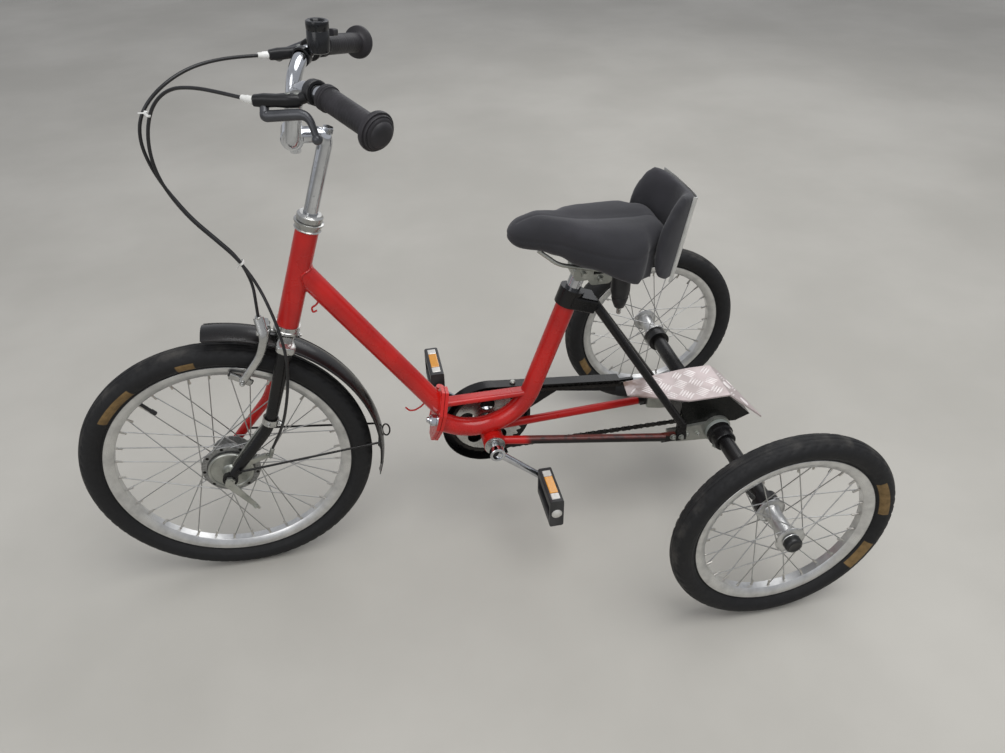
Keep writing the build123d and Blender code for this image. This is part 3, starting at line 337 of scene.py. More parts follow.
def turned_round_axle(centre, profile, steps):
    """Ring: the (across, radius) profile, in millimetres, carried round the wheel's axle."""
    across, radius = np.asarray(profile, float).T / 1000
    a = np.linspace(0, 2 * pi, steps + 1)[:, None]
    return centre + np.stack([radius * np.cos(a), across + 0 * a, radius * np.sin(a)], -1)


def tyre_grid(centre, radius, steps):
    """Tyre: an ellipse across the tyre carried round the axle; grooves and slanted cuts lower it."""
    wide, tall, foot_at = 22, 19.5, 2.57
    v = np.linspace(-foot_at, foot_at, 61)
    u = np.linspace(0, 2 * pi, steps * 6 + 1)[:, None]
    ribs = sum(np.exp(-((np.abs(v) - place) / 0.055) ** 2) for place in (0.17, 0.55))
    cuts = np.clip(np.sin(steps * u + 5 * np.abs(v)) * 4 - 2.4, 0,
        1) * np.exp(-((np.abs(v) - 0.78) / 0.24) ** 4)
    lowered = 1.3 * ribs + 1.5 * cuts
    wall = np.clip((np.abs(v) - 1.5) / 0.6, 0, 1) * np.clip((2.3 - np.abs(v)) / 0.3, 0, 1)
    lowered = lowered - 0.35 * wall * (np.abs(np.sin(3 * pi * (np.abs(v) - 1.5))) > 0.85)
    r = (radius - tall + (tall - lowered) * np.cos(v)) / 1000
    across = wide * np.sin(v) * (1 - lowered / wide) / 1000
    inner = np.stack([(-12.2, radius - 37.6), (-11.4, radius - 40.5), (11.4, radius - 40.5),
        (12.2, radius - 37.6)])
    grid = centre + np.stack([r * np.cos(u), across + 0 * u, r * np.sin(u)], -1)
    foot = turned_round_axle(centre, inner, steps * 6)
    return np.concatenate([foot[:, 1:2], foot[:, :1], grid, foot[:, 3:], foot[:, 2:3], foot[:, 1:2]], 1)


def rubber(centre, radius, bands):
    """Tyre rubber, greyer where dust sits in the tread, with tan bands on the outer wall."""
    def build(point):
        out, turn, y = polar(point, centre)
        band = 0.0
        for start, end in bands:
            a, b = radians(start), radians(end)
            band = turn.rise(a, a + 0.012) * (1 - turn.rise(b - 0.012, b)) + band
        low, high = (radius - 34) / 1000, (radius - 18) / 1000
        ring = out.rise(low, low + 0.001) * (1 - out.rise(high - 0.001, high))
        ring = ring * (y - centre[1]).rise(0.0, 0.002)
        dust = point.noise(28.0, 5.0).rise(0.4, 0.75) * out.rise((radius - 9) / 1000, (radius - 2) / 1000)
        dark = dust.mix((21, 21, 22), (62, 60, 57))
        scuffed = point.noise(90.0, 4.0).rise(0.3, 0.7).mix((126, 101, 62), (103, 82, 50))
        return ((band * ring).mix(dark, scuffed), 0.52 + 0.3 * point.noise(90.0, 4.0),
                point.noise(1400.0, 3.0) * 0.6 + point.noise(220.0, 2.0) * 0.4, 0.00025)
    return build


def brushed(centre, light, dark, rough):
    """Turned metal: hair-fine rings round the axle, with faint cloudy wear."""
    def build(point):
        out, _, y = polar(point, centre)
        rings = out.node("ShaderNodeTexNoise", {"W": (out + y) * 2600.0, "Scale": 1.0}, noise_dimensions="1D")
        cloud = point.noise(45.0, 4.0)
        return cloud.rise(0.3, 0.75).mix(light, dark), rough + 0.12 * cloud + 0.1 * rings, rings, 0.00004
    return build


def dress(material, *names):
    """Gives pieces of the source that stay as they are their surface."""
    for name in names:
        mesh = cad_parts[name].data
        mesh.materials.clear()
        mesh.materials.append(material)


front_r, rear_r, half_track = 248.0, 198.0, 324
front_axle, rear_axle = at(905, 0, front_r), at(0, 0, rear_r)
wheels = {
    "front": (front_axle, front_r, "front_wheel", 36, 76, [(36, 57.5), (79, 87)]),
    "rear_left": (at(0, half_track, rear_r), rear_r, "rear_wheel_left", 28, 60, [(149, 176), (-162, -141.5)]),
    "rear_right": (at(0, -half_track, rear_r), rear_r, "rear_wheel_right", 28, 60, [(-34, -19)]),
}
for name, (centre, radius, body, spokes, blocks, bands) in wheels.items():
    piece(name + "_road_tyre", [tyre_grid(centre, radius, blocks)],
          finish(name + "_rubber", rubber(centre, radius, bands), Specular_IOR_Level=0.35),
          body, [name + "_tyre"], 60)
    edge, well = radius - 39, radius - 57
    half = [(12.5, edge - 0.4), (12.1, edge), (11.3, edge), (10.9, edge - 0.5), (10.8, edge - 6),
        (6, edge - 9.5)]
    well_half = [(6.8, well), (8.2, well + 1.2), (12.0, edge - 8.2), (12.4, edge - 7), (12.5, edge - 0.4)]
    section = half + [(-s, r) for s, r in half[::-1] + well_half[-2::-1]] + well_half
    rim_alloy = finish(name + "_alloy", brushed(centre, (214, 214, 212), (188, 188, 187), 0.2), Metallic=0.95)
    piece(name + "_alloy_rim", [turned_round_axle(centre, section, 144)], rim_alloy, body,
        [name + "_rim"])
    nipples = []
    for k in range(spokes):
        a = 2 * pi * k / spokes
        outward = np.array([cos(a), 0, sin(a)])
        across = 2.0 if (k % 2 == 0) != (name == "rear_left") else -2.0
        head = centre + outward * (well + 2) / 1000 + (0, across / 1000, 0)
        nipples.append(turned(head, -outward, [(0, 0), (0, 2.6), (2, 2.6), (3, 2.0), (13, 1.9), (14, 1.4),
            (14, 0)], 8))
    nickel = finish(name + "_nickel", lambda point:
        (point.noise(300.0, 2.0).mix((170, 166, 158), (208, 206, 200)), 0.22 + 0.2 * point.noise(150.0, 2.0)),
        Metallic=1.0)
    piece(name + "_nipples", nipples, nickel, body)
    valve = centre + np.array([cos(0.9), 0, sin(0.9)]) * (well + 4) / 1000
    piece(name + "_valve", [turned(valve, centre - valve, [(0, 0), (0, 4), (6, 3.4), (9, 3.0), (26, 2.9),
        (27, 3.9), (36, 3.9), (37, 3.0), (37, 0)], 20)], finish(name + "_valve_cap",
        plastic((14, 14, 14), (28, 28, 28), 0.4)), body)
    steel = finish(name + "_spoke_steel", lambda point:
        (point.noise(60.0, 3.0).mix((150, 150, 148), (196, 196, 194)), 0.24 + 0.2 * point.noise(120.0, 3.0)),
        Metallic=1.0)
    dress(steel, name + "_spokes")

# Frame: round steel tubes, bent and straight, welded together with a flat brace across the lower bend,
# under red gloss enamel. The left chain stay and the carriage end of the right one are painted over in
# black. Weld beads run round the joints, and two wire hooks for a bag are welded on.
def enamel(light, dark):
    """Gloss paint: two close shades, dull patches, orange peel and rare chips down to dark steel."""
    def build(point):
        chipped = point.noise(95.0, 5.0, 0.7).rise(0.745, 0.76)
        paint = point.noise(14.0, 4.0).rise(0.3, 0.72).mix(light, dark)
        return (chipped.mix(paint, (62, 54, 50)), 0.16 + 0.24 * point.noise(26.0, 4.0) + 0.3 * chipped,
                point.noise(420.0, 2.0) * 0.2 - chipped, 0.00005)
    return build


def tube(path, radius, reference=LEFT, around=28, flat=1.0):
    """Bent bar: an ellipse (radius, flat · radius) in millimetres square to a path in metres. The
    reference direction sets where each ellipse starts; both ends close on the path."""
    path = np.asarray(path, float)
    onward = unit(np.gradient(path, axis=0))
    side = unit(np.cross(np.broadcast_to(np.asarray(reference, float), path.shape), onward))
    up = np.cross(onward, side)
    a = np.linspace(0, 2 * pi, around + 1)[:, None]
    r = np.broadcast_to(np.asarray(radius, float), len(path))[:, None, None] / 1000
    grid = path[:, None] + r * (np.cos(a) * side[:, None] + flat * np.sin(a) * up[:, None])
    return np.concatenate([path[:1, None] + 0 * grid[:1], grid, path[-1:, None] + 0 * grid[:1]])


def bent(corners, reach, steps=9):
    """Path through corners, each inner one rounded by the parabola that touches both of its legs at
    the given reach from it."""
    corners = np.asarray(corners, float)
    t = np.linspace(0, 1, steps)[:, None]
    runs = [corners[:1]]
    for before, corner, after, r in zip(corners, corners[1:], corners[2:],
            np.broadcast_to(reach, len(corners) - 2)):
        first, last = corner + unit(before - corner) * r, corner + unit(after - corner) * r
        runs.append((1 - t) ** 2 * first + 2 * t * (1 - t) * corner + t ** 2 * last)
    return np.concatenate(runs + [corners[-1:]])


def weld(start, onward, radius, on_point, on_way, on_radius=0.0, bead=2.0):
    """Weld bead: a rippled ring where the wall lines of a round tube first meet a round tube about the
    line through on_point, or, with on_radius 0, the plane through on_point square to on_way."""
    onward, on_way = unit(onward), unit(on_way)
    side, up = square_pair(onward)
    a = np.linspace(0, 2 * pi, 121)[:, None]
    outward = np.cos(a) * side + np.sin(a) * up
    wall = start + outward * radius / 1000
    away = wall - on_point
    if on_radius:
        across = away - (away @ on_way)[:, None] * on_way
        step = onward - (onward @ on_way) * on_way
        b, c = across @ step, (across ** 2).sum(1) - (on_radius / 1000) ** 2
        along = (-b - np.sqrt(np.maximum(b * b - step @ step * c, 0))) / (step @ step)
    else:
        along = -(away @ on_way) / (onward @ on_way)
    seam = wall + along[:, None] * onward
    t = np.linspace(0, 2 * pi, 9)[:, None]
    r = bead / 1000 * (1 + 0.1 * np.sin(40 * a))[:, None]
    return seam[:, None] + r * (np.cos(t) * outward[:, None] + np.sin(t) * onward)


red_light, red_dark = (190, 26, 20), (164, 20, 17)
red = finish("red_enamel", enamel(red_light, red_dark), Specular_IOR_Level=0.4, Coat_Weight=0.2,
    Coat_Roughness=0.06)
black = finish("black_enamel", enamel((15, 15, 16), (25, 23, 22)), Specular_IOR_Level=0.3)


def stay_paint(point):
    """Red over the front of each stay, black behind, with a patchy red-brown band along the left one's top."""
    x, y, z = point.parts()
    forward = x + axle_back / 1000
    left = y.rise(0.0, 0.001)
    dark = (1 - forward.rise(0.362, 0.380)) * left + (1 - forward.rise(0.119, 0.123)) * (1 - left)
    top = (z - 0.201 - (forward - 0.109) * 0.0643).rise(0.002, 0.007) * left
    top = top * point.noise(60.0, 4.0).rise(0.3, 0.55)
    colour = dark.mix(point.noise(14.0, 4.0).mix(red_light, red_dark), top.mix((24, 22, 21), (92, 36, 29)))
    return colour, 0.2 + 0.25 * point.noise(26.0, 4.0), point.noise(420.0, 2.0), 0.00002


dress(red, "seat_tube", "lower_tube", "hinge_rear", "brace_bar", "bottom_bracket_shell", "head_tube",
    "down_tube", "hinge_front")
dress(finish("stay_enamel", stay_paint, Specular_IOR_Level=0.35), "chain_stay_left", "chain_stay_right")

lean, hinge_tilt, tube_r = radians(19), radians(14.4), 17.5
axis_way = np.array([-sin(lean), 0, cos(lean)])
square_way = np.array([cos(lean), 0, sin(lean)])


def on_axis(up, forward=0.0, y=0.0):
    """A point up the steering axis from the foot of the head tube, and forward square to it."""
    return at(763 - up * sin(lean) + forward * cos(lean), y, 517 + up * cos(lean) + forward * sin(lean))


hinge_way = np.array([cos(hinge_tilt), 0, sin(hinge_tilt)])
hinge_up = np.array([-hinge_way[2], 0, hinge_way[0]])
hinge_at = at(530, 0, 287)
plate = hinge_way * 0.0065
down_way = np.array([203.5, 0, 308.0])
hooks = [((706, 556), (713, 545), (722, 540), (721, 531), (714, 534)),
         ((553, 318), (562, 309), (573, 303), (583, 304), (589, 312))]
wire_hooks = [tube(bent([at(x, 0, z) for x, z in hook], 0.0035), 1.6, around=12) for hook in hooks]
piece("front_welds", [weld(at(526.5, 0, 304), down_way, tube_r, on_axis(0), axis_way, 18.0),
    weld(at(730, 0, 612), -down_way, tube_r, hinge_at + plate, hinge_way)] + wire_hooks, red, "front_frame")
crank_x, crank_z = 434, 220
bb = at(crank_x, 0, crank_z)
stay_welds = [weld(at(109, k * 61, 201), at(420, k * 22, 221) - at(109, k * 61, 201), 8.0, bb, LEFT, 20.0, 1.5)
              for k in (1, -1)]
lower_weld = weld(at(504, 0, 251), (0.775, 0, 0.632), tube_r, hinge_at - plate, hinge_way)
piece("frame_welds", [lower_weld] + stay_welds, red, "frame")


# Bright metal of the front: hinge bolt, headset, fork crown, axle nuts, stem and handlebar, all chrome
# plated steel, and dull zinc or alloy for small bolts and brackets. The crown is a forged bar with a
# socket over each blade; the stem is a bent tube with a clamp round the bar.
def plated(light, dark, rough):
    """Plated or bare metal: a cloudy shade, fine scratches and dull spots that change the gloss."""
    def build(point):
        cloud = point.noise(30.0, 4.0)
        scratch = point.stretched((1.0, 1.0, 6.0)).noise(500.0, 3.0)
        spots = point.noise(170.0, 3.0).rise(0.62, 0.7)
        return (spots.mix(cloud.rise(0.3, 0.75).mix(light, dark), dark), rough + 0.1 * cloud + 0.12 * spots,
                scratch, 0.00002)
    return build


def loft(origin, direction, wide, sections, power=2.0, around=48):
    """Closed loft along a direction. A section (along, half width, half height), in millimetres, is the
    curve |x / width| ** power + |y / height| ** power = 1, and the ends close on their middles."""
    along, width, height = np.asarray(sections, float).T / 1000
    direction = unit(direction)
    wide = unit(np.asarray(wide, float) - np.dot(wide, direction) * direction)
    tall = np.cross(direction, wide)
    a = np.linspace(0, 2 * pi, around + 1)
    x = np.sign(np.cos(a)) * np.abs(np.cos(a)) ** (2 / power)
    y = np.sign(np.sin(a)) * np.abs(np.sin(a)) ** (2 / power)
    grid = (origin + along[:, None, None] * direction + (width[:, None] * x)[..., None] * wide
            + (height[:, None] * y)[..., None] * tall)
    ends = [np.broadcast_to(origin + s * direction, grid[:1].shape) for s in (along[0], along[-1])]
    return np.concatenate([ends[0], grid, ends[1]])


def sleeve(origin, way, half, bore, radius, bevel, around=40):
    """Ring round a bar: its half length, bore and radius, and how far each bevel goes (along, in)."""
    end = [(-half, bore), (-half, radius - bevel[1]), (bevel[0] - half, radius)]
    return turned(origin, way, end + [(-s, r) for s, r in end[::-1]] + end[:1], around)


def strip(start, end, sections, power=6.0, wide=LEFT):
    """Flat bar lofted from one point towards another, both in millimetres from the rear axle."""
    return loft(at(*start), at(*end) - at(*start), wide, sections, power)


def bolt(place, way, head, height):
    """Hexagon bolt head on a round washer, standing on a place, with the end of its thread above."""
    way, washer, height = unit(way), 0.0015, height / 1000
    steps = [(0, washer, head * 1.3, 0.3, 24), (washer, washer + height, head, 0.5, 6),
             (washer + height, 0.004 + height, head * 0.55, 0.5, 16)]
    return [rod(place + way * low, place + way * high, radius, edge, around)
            for low, high, radius, edge, around in steps]


chrome = finish("chrome", plated((208, 210, 213), (182, 184, 187), 0.05), Metallic=1.0)
zinc = finish("zinc_plate", plated((176, 177, 170), (140, 142, 136), 0.28), Metallic=0.85)
alloy = finish("bright_alloy", plated((196, 196, 193), (165, 165, 162), 0.2), Metallic=0.95)
# Black plastic of the lever bodies; the same material is also the painted shade in the crank ends.
black_plastic_and_shade = finish("black_plastic_and_shade", plastic((17, 17, 18), (28, 28, 29), 0.34), Specular_IOR_Level=0.35)

clamp_at = hinge_at + (0, 0.023, 0) + hinge_up * 0.002 + plate
piece("hinge_bolt", [rod(clamp_at, clamp_at + hinge_way * 0.003, 10.0, 0.6, 32), rod(clamp_at + hinge_way *
    0.003, clamp_at + hinge_way * 0.013, 10.6, 1.2, 6), turned(clamp_at + hinge_way * 0.013, hinge_way,
    [(0, 8.6), (2.5, 7.4), (3.5, 5), (7, 5), (7.6, 3.5), (7.6, 0)], 24)], chrome, "front_frame",
    ["hinge_clamp_bolt"])
piece("headset", [turned(on_axis(0), axis_way, [(-14, 12.9), (-14, 19.6), (-13, 21), (-9, 21), (-8, 19.6),
    (-2.5, 19.4), (-1.5, 20.5), (0, 20.5), (0, 12.9), (-14, 12.9)]), turned(on_axis(0), axis_way,
    [(170, 12.9), (170, 20), (171.5, 21), (173, 19.4), (177, 20.5), (182, 23), (183.6, 23), (184, 22.4),
    (184, 12.9), (170, 12.9)])], alloy, "front_frame", ["headset_cups"])
crown_sections = [(-54, 8, 4.4), (-53, 12, 6), (-50, 14.8, 6.7), (-42, 15.9, 6.75), (-33, 14.6, 6.75),
    (-25, 11.8, 6.6), (-17, 12.6, 6.6), (-9, 15.3, 6.75), (0, 16, 6.75)]
crown_sections = crown_sections + [(-s, w, h) for s, w, h in crown_sections[-2::-1]]
piece("crown", [loft(on_axis(-21.25), LEFT, square_way, crown_sections, 4.5),
    rod(on_axis(-15), on_axis(184), 12.6, 0.4, 32), turned(on_axis(184.5), axis_way, [(0, 12), (0, 19),
    (1.2, 20), (9, 20), (11, 17.5), (12.5, 16.8), (12.5, 11.4), (0, 11.4)])] +
    [turned(on_axis(-14.5, 0, 41 * k), axis_way, [(0, 0), (0, 7), (-1.5, 10.5), (-1.5, 13.2), (-3, 13.6),
    (-12, 13.6), (-13.5, 13.0), (-13.5, 0)], 32) for k in (1, -1)], alloy, "steering",
    ["fork_crown"])
quill = bent([on_axis(120), on_axis(320), at(707, 0, 822)], 0.016)
barrel = at(707, 0, 822)
piece("bar_stem", [tube(quill, np.interp(np.linspace(0, 1, len(quill)), [0, 0.6, 1], [11, 11, 12.2]),
    around=36), sleeve(barrel, LEFT, 20, 11.2, 16.1, (1, 0.9)), rod(on_axis(322), on_axis(331), 8.5, 0.8, 6),
    loft(barrel + (-0.002, 0, -0.016), LEFT, (1, 0, 0), [(-13, 6, 5), (-12, 8, 7), (12, 8, 7), (13, 6, 5)],
    3.5), rod(barrel + (-0.002, -0.018, -0.0175), barrel + (-0.002, 0.017, -0.0175), 3.6, 0.5, 16)], chrome,
    "steering", ["stem"])
bar_path = {}
for k, reach in ((1, 93.0), (-1, 105.0)):
    elbow = np.array([658.0, k * 118.0, 911.0])
    bar_path[k] = [at(707, k * 44, 822), at(690, k * 58, 905), at(*elbow),
        at(*(elbow + np.array([-0.656, k, -0.24]) * reach))]
bar_line = bent(bar_path[-1][::-1] + bar_path[1], [0.02, 0.034, 0.022, 0.022, 0.034, 0.02], 14)
piece("bar_tube", [tube(bar_line, 11.1, (1, 0, 0.35), 36)], chrome, "steering", ["handlebar"])
dress(zinc, "front_axle")


# Grips, levers and bell: black rubber grips with three stepped rings and a dome at the end, black
# plastic lever bodies clamped beside them with dark alloy blades that end in a ball, and a black
# plastic bell that turns to ring.
grip_rubber = finish("grip_rubber", plastic((31, 30, 32), (43, 41, 44), 0.5, 700.0, 0.0002),
    Specular_IOR_Level=0.35)
blade_grey = finish("blade_grey", plated((74, 75, 78), (58, 59, 62), 0.3), Metallic=0.4)
grips = []
for k in (1, -1):
    elbow, tip = bar_path[k][2:]
    length = np.linalg.norm(tip - elbow) * 1000
    s = np.linspace(19 - length, -14, 60)
    body = [(8 - length, 11.3), (8 - length, 16.4), (10 - length, 17), (14 - length, 17), (15 - length, 15.6),
            (16 - length, 17), (18 - length, 17)] + [(v, 15.0 - 0.35 * (sin(v * 1.2) > 0.55)) for v in s]
    grips.append(turned(tip, tip - elbow, body + [(-12, 16), (-10.5, 20), (-9, 23), (-8, 24.4), (-5.5, 25),
        (-3, 25), (-1.4, 24.4), (-1.2, 22.2), (1.2, 22.2), (2.4, 21.6), (2.6, 19.8), (4.6, 19.6), (5.6, 18.6),
        (6, 16.6), (8.4, 15.4), (10.4, 12), (11.6, 7), (12, 0)], 48))
grips.append(strip((632, -118, 928), (600, -175, 915), [(-7, 4, 6), (-6, 5, 7), (6, 5, 7), (7, 4, 6)], 4.0, UP))
piece("rubber_grips", grips, grip_rubber, "steering", ["grips"])
lever_bodies, lever_blades, screws = [], [], []
levers = [(1, route_drum[0], ((-12, 10, -18), (-66, 30, -13), (-73, 42, -42))),
          (-1, route_caliper[0], ((-12, -14, -6), (-66, -38, 5), (-74, -56, -12)))]
for k, nose, offsets in levers:
    inner, elbow = bar_path[k][1:3]
    along = unit(elbow - inner)
    ring = inner + along * 0.054
    heel = nose + np.array([-61, k * 13, -1]) / 1000
    lever_bodies += [loft(nose, heel - nose, LEFT, [(0, 4.5, 5), (1.5, 6.5, 7), (14, 7.6, 8.4),
        (30, 8.4, 7.6), (44, 9.6, 8.6), (58, 9, 8.4), (62, 6.5, 6)], 3.0),
        sleeve(ring, along, 7, 11.2, 16.1, (1.4, 1.5)), tube(np.linspace(ring, heel + (0.008, 0, 0), 6),
        np.linspace(8.5, 7, 6), UP, 20)]
    hinge_p, knuckle, ball = [nose + np.array(p) / 1000 for p in offsets]
    path = bent([nose + np.array([-14, k * 2, -2]) / 1000, hinge_p, knuckle, ball], [0.006, 0.014], 10)
    lever_blades += [tube(path, np.interp(np.linspace(0, 1, len(path)), [0, 0.25, 0.6, 1],
        [5.5, 7.6, 6.2, 4.4]), UP, 20, 1.1), turned(ball, knuckle - ball, [(-7, 0)] +
        [(-7 * cos(t), 7 * sin(t)) for t in np.linspace(0.15, pi - 0.15, 14)] + [(7, 0)], 24)]
    top = unit(np.cross(heel - nose, LEFT))
    top = top if top[2] > 0 else -top
    for share, lift in ((0.72, 8.2), (0.9, 8.0)):
        spot = nose + (heel - nose) * share + top * lift / 1000
        screws.append(turned(spot, top, [(-1, 0), (-1, 3.4), (0.8, 3.4), (1.4, 2.6), (1.4, 0)], 20))
piece("lever_bodies", lever_bodies, black_plastic_and_shade, "steering", ["brake_levers"])
piece("lever_blades", lever_blades, blade_grey, "steering")
piece("lever_screws", screws, zinc, "steering")
bell_foot, bell_way = at(654, -78, 911), np.array([-3.0, 0, 44])
inner, elbow = bar_path[-1][1:3]
along = unit(elbow - inner)
bell_ring = inner + along * 0.024
piece("bell_body", [turned(bell_foot, bell_way, [(0, 0), (0, 13.5), (1.5, 15.6), (4, 16), (30, 16.2),
    (31, 15.6), (32, 16.3), (41, 16.5), (43.4, 16), (44, 14.6), (43.4, 11.6), (41.4, 10.2), (40.8, 0)], 48),
    sleeve(bell_ring, along, 5, 11.2, 14.1, (0.6, 0.7)),
    tube(np.linspace(bell_ring, bell_foot + (0, 0, 0.006), 5), 6.0, LEFT, 20)], finish("bell_plastic",
    plastic((17, 18, 20), (27, 28, 30), 0.14), Specular_IOR_Level=0.4), "steering", ["bell"])


# Front fork, mudguard and front brakes: the left blade is black with a steel strap round it, the right
# one red. The mudguard is rolled from thin steel with wired edges under black gloss. An alloy caliper
# brake hangs in front of the crown, and a drum brake's plate and arm sit in the left of the hub.
dress(black, "fork_blade_left", "mudguard_stays")
dress(red, "fork_blade_right")
strap_at = on_axis(-166, 0, 44.6)
piece("blade_strap", [turned(strap_at, axis_way, [(-6, 12.2), (-6, 13.5), (6, 13.5), (6, 12.2), (-6, 12.2)],
    36)] + bolt(strap_at + (-0.013, 0.004, -0.004), (-1, 0.3, -0.2), 3.6, 4) +
    bolt(strap_at + (0.003, 0.0125, 0), LEFT, 3.2, 2), alloy, "steering")
guard_at = at(903, 0, 256)


def guard_shell(start, end, half, steps):
    """Mudguard: an arch across (269 - 7.5 · (y / 26)², less inside) carried round its centre from one
    angle to another, its half width given at each step, and both ends closed."""
    a = np.radians(np.linspace(start, end, steps))[:, None]
    share = np.linspace(-1, 1, 21)[None]
    y = share * np.broadcast_to(half, steps)[:, None]
    outer = 269 - 7.5 * (y / 26) ** 2
    def ring(radius):
        return guard_at + np.stack([radius * np.cos(a), y, radius * np.sin(a)], -1) / 1000
    skin, lining, middle = ring(outer), ring(outer - 1.6), ring(outer - 0.8)
    loop = np.concatenate([skin, lining[:, ::-1], skin[:, :1]], 1)
    close = np.concatenate([middle, middle[:, ::-1], middle[:, :1]], 1)
    return np.concatenate([close[:1], loop, close[-1:]])


half_width = np.interp(np.linspace(91, 199, 120), [91, 92.2, 189.6, 191, 199], [24.6, 25.6, 25.6, 8.5, 8])
edge_a = np.radians(np.linspace(91.4, 189.8, 90))
wire = np.stack([261.6 * np.cos(edge_a), 0 * edge_a, 261.6 * np.sin(edge_a)], -1) / 1000
edges = [tube(guard_at + wire + (0, 0.0252 * k, 0), 1.9, around=12) for k in (1, -1)]
eye_a = np.linspace(0, 2 * pi, 33)
eye = guard_at + (-0.2745, 0, 0.012) + np.stack([0.0065 * np.cos(eye_a), 0 * eye_a, 0.013 * np.sin(eye_a)],
    -1)
piece("steel_mudguard", [guard_shell(91, 199, half_width, 120), tube(eye, 1.5, around=12)] + edges +
    [rod(on_axis(-30), on_axis(-24), 7.6, 0.5, 24)], finish("mudguard_gloss",
    enamel((13, 12, 12), (23, 20, 19)), Specular_IOR_Level=0.35, Coat_Weight=0.15, Coat_Roughness=0.02),
    "steering", ["front_mudguard"])
pivot = on_axis(-18.5, 28)
arms, shoes, pads = [], [], []
for k, top in ((1, route_caliper[-1]), (-1, pivot)):
    drop = 514 if k > 0 else 510
    path = bent([top, at(800, 33 * k, drop), at(812, 33 * k, 482), at(849, 33 * k, 436)], [0.010, 0.014], 10)
    arms.append(tube(path, np.linspace(8.2, 6.2, len(path)), LEFT, 24, 0.5))
    shoe = at(853, 0, 433)
    along_rim = unit((0.82, 0, 0.57))
    shoes += [rod(at(849, 34 * k, 436), shoe + (0, 0.018 * k, 0), 3.6, 0.5, 16), loft(shoe +
        (0, 0.0202 * k, 0) - along_rim * 0.019, along_rim, LEFT, [(0, 1.6, 4.6), (1, 2.2, 5.4),
        (37, 2.2, 5.4), (38, 1.6, 4.6)], 5.0)]
    shoes += bolt(at(849, 36 * k, 436), (0, k, 0), 4.0, 4)
    pads.append(loft(shoe + (0, 0.0162 * k, 0) - along_rim * 0.021, along_rim, LEFT, [(0, 1.6, 3.6),
        (1, 2.4, 4.6), (41, 2.4, 4.6), (42, 1.6, 3.6)], 4.0))
piece("caliper_arms", arms + shoes + [tube(np.linspace(pivot, at(806, 20, 526), 5), 5.0, LEFT, 20),
    tube(np.linspace(pivot, at(800, 33, 512), 5), 5.0, UP, 20), rod(on_axis(-18.5, -25), on_axis(-18.5, 30),
    3.0, 0.4, 16), rod(at(804, 20, 548), at(804, 19, 532), 5.2, 0.8, 20)] +
    bolt(on_axis(-18.5, 31), square_way, 5.4, 4) + bolt(on_axis(-18.5, -17), -square_way, 4.6, 4) +
    bolt(at(807, 26, 522), (0.3, 1, 0), 3.6, 4), alloy, "steering", ["brake_caliper"])
piece("brake_pads", pads, finish("pad_rubber", plastic((24, 24, 24), (38, 38, 38), 0.6)), "steering")
piece("drum_plate", [turned(front_axle, LEFT, [(24.5, 5), (24.5, 38), (25.4, 39), (28.6, 39), (30, 37.6),
    (30, 35), (28.4, 33.5), (28.4, 15), (30.5, 13), (36, 11.5), (44, 11), (44.8, 10), (44.8, 5)], 64),
    strip((893, 31, 262), (838, 31, 330), [(0, 2.4, 7), (1, 2.5, 8), (87, 2.5, 8), (88, 2.4, 7)]),
    strip((839, 31, 328), (821, 31, 350), [(0, 2.4, 8), (28, 2.5, 7.5), (30, 2.4, 5)]),
    strip((893, 28.5, 254), (838, 31, 275), [(0, 2.4, 5), (1, 2.5, 6), (56, 2.5, 5.4), (58, 2.4, 4)]),
    rod(at(834, 34, 271), route_drum[-1], 4.0, 0.6, 16), strip((911, 56, 247), (868, 54.5, 173),
    [(0, 1.5, 5), (6, 1.8, 8), (30, 1.8, 6.5), (74, 1.8, 4), (84, 1.4, 2)], 5.0)] +
    bolt(at(820, 34, 350), LEFT, 4.4, 3) + bolt(at(836, 32, 276), LEFT, 3.8, 3) +
    bolt(at(874, 56, 184), LEFT, 3.8, 3), zinc, "steering", ["brake_plate"])


def drum_face(point):
    """Cast alloy hub, dull and speckled, with a ring of round holes through its large flange painted as dark
    discs: painted shade.
    """
    out, turn, _ = polar(point, front_axle)
    holes, circle = 9, 0.0455
    nearest = turn.maths("FRACT", turn * (holes / (2 * pi)) + holes + 0.5) - 0.5
    side = nearest * (2 * pi / holes) * out
    # Painted shade: a dark disc where each hole would open through the flange.
    hole_shade = 1 - ((side ** 2 + (out - circle) ** 2) ** 0.5).rise(0.0028, 0.0032)
    cast = point.noise(260.0, 3.0)
    skin = cast.rise(0.3, 0.7).mix((150, 150, 148), (118, 118, 116))
    return hole_shade.mix(skin, (28, 27, 26)), 0.36 + 0.2 * cast, cast, 0.00006


piece("drum_hub", [turned(front_axle, LEFT, [(-28.5, 5.1), (-28.5, 32.6), (-27.8, 34), (-26.2, 34),
    (-25.5, 32.8), (-24.5, 19), (-22, 16), (-4, 16), (-1, 18), (2, 39.5), (3, 42), (17.4, 42), (18, 49),
    (18.8, 50), (21.2, 50), (22, 49), (22, 40.5), (20.5, 39.5), (20.5, 5.1)], 72)],
    finish("drum_alloy_and_hole_shade", drum_face, Metallic=0.75), "front_wheel", ["front_hub"])


# Seat: a neoprene covered foam saddle and back support on steel rails. The back support is carried by
# a bare alloy plate. Under the saddle are the bright clamp and post, and a black rubber stop; the
# collar and struts that hold the seat tube to the carriage are painted black.
def neoprene(point):
    """Knitted cover: a fine weave of two greys, rubbed paler where it is sat on, and soft creases."""
    weave = point.stretched((1.0, 1.6, 1.0)).noise(1900.0, 2.0)
    rub = point.noise(9.0, 4.0)
    return (rub.rise(0.3, 0.75).mix((43, 43, 46), (54, 53, 57)), 0.78 + 0.12 * weave,
            weave * 0.35 + point.noise(60.0, 3.0) * 1.6, 0.00035)


neoprene_cover = finish("neoprene", neoprene, Specular_IOR_Level=0.25, Sheen_Weight=0.15)


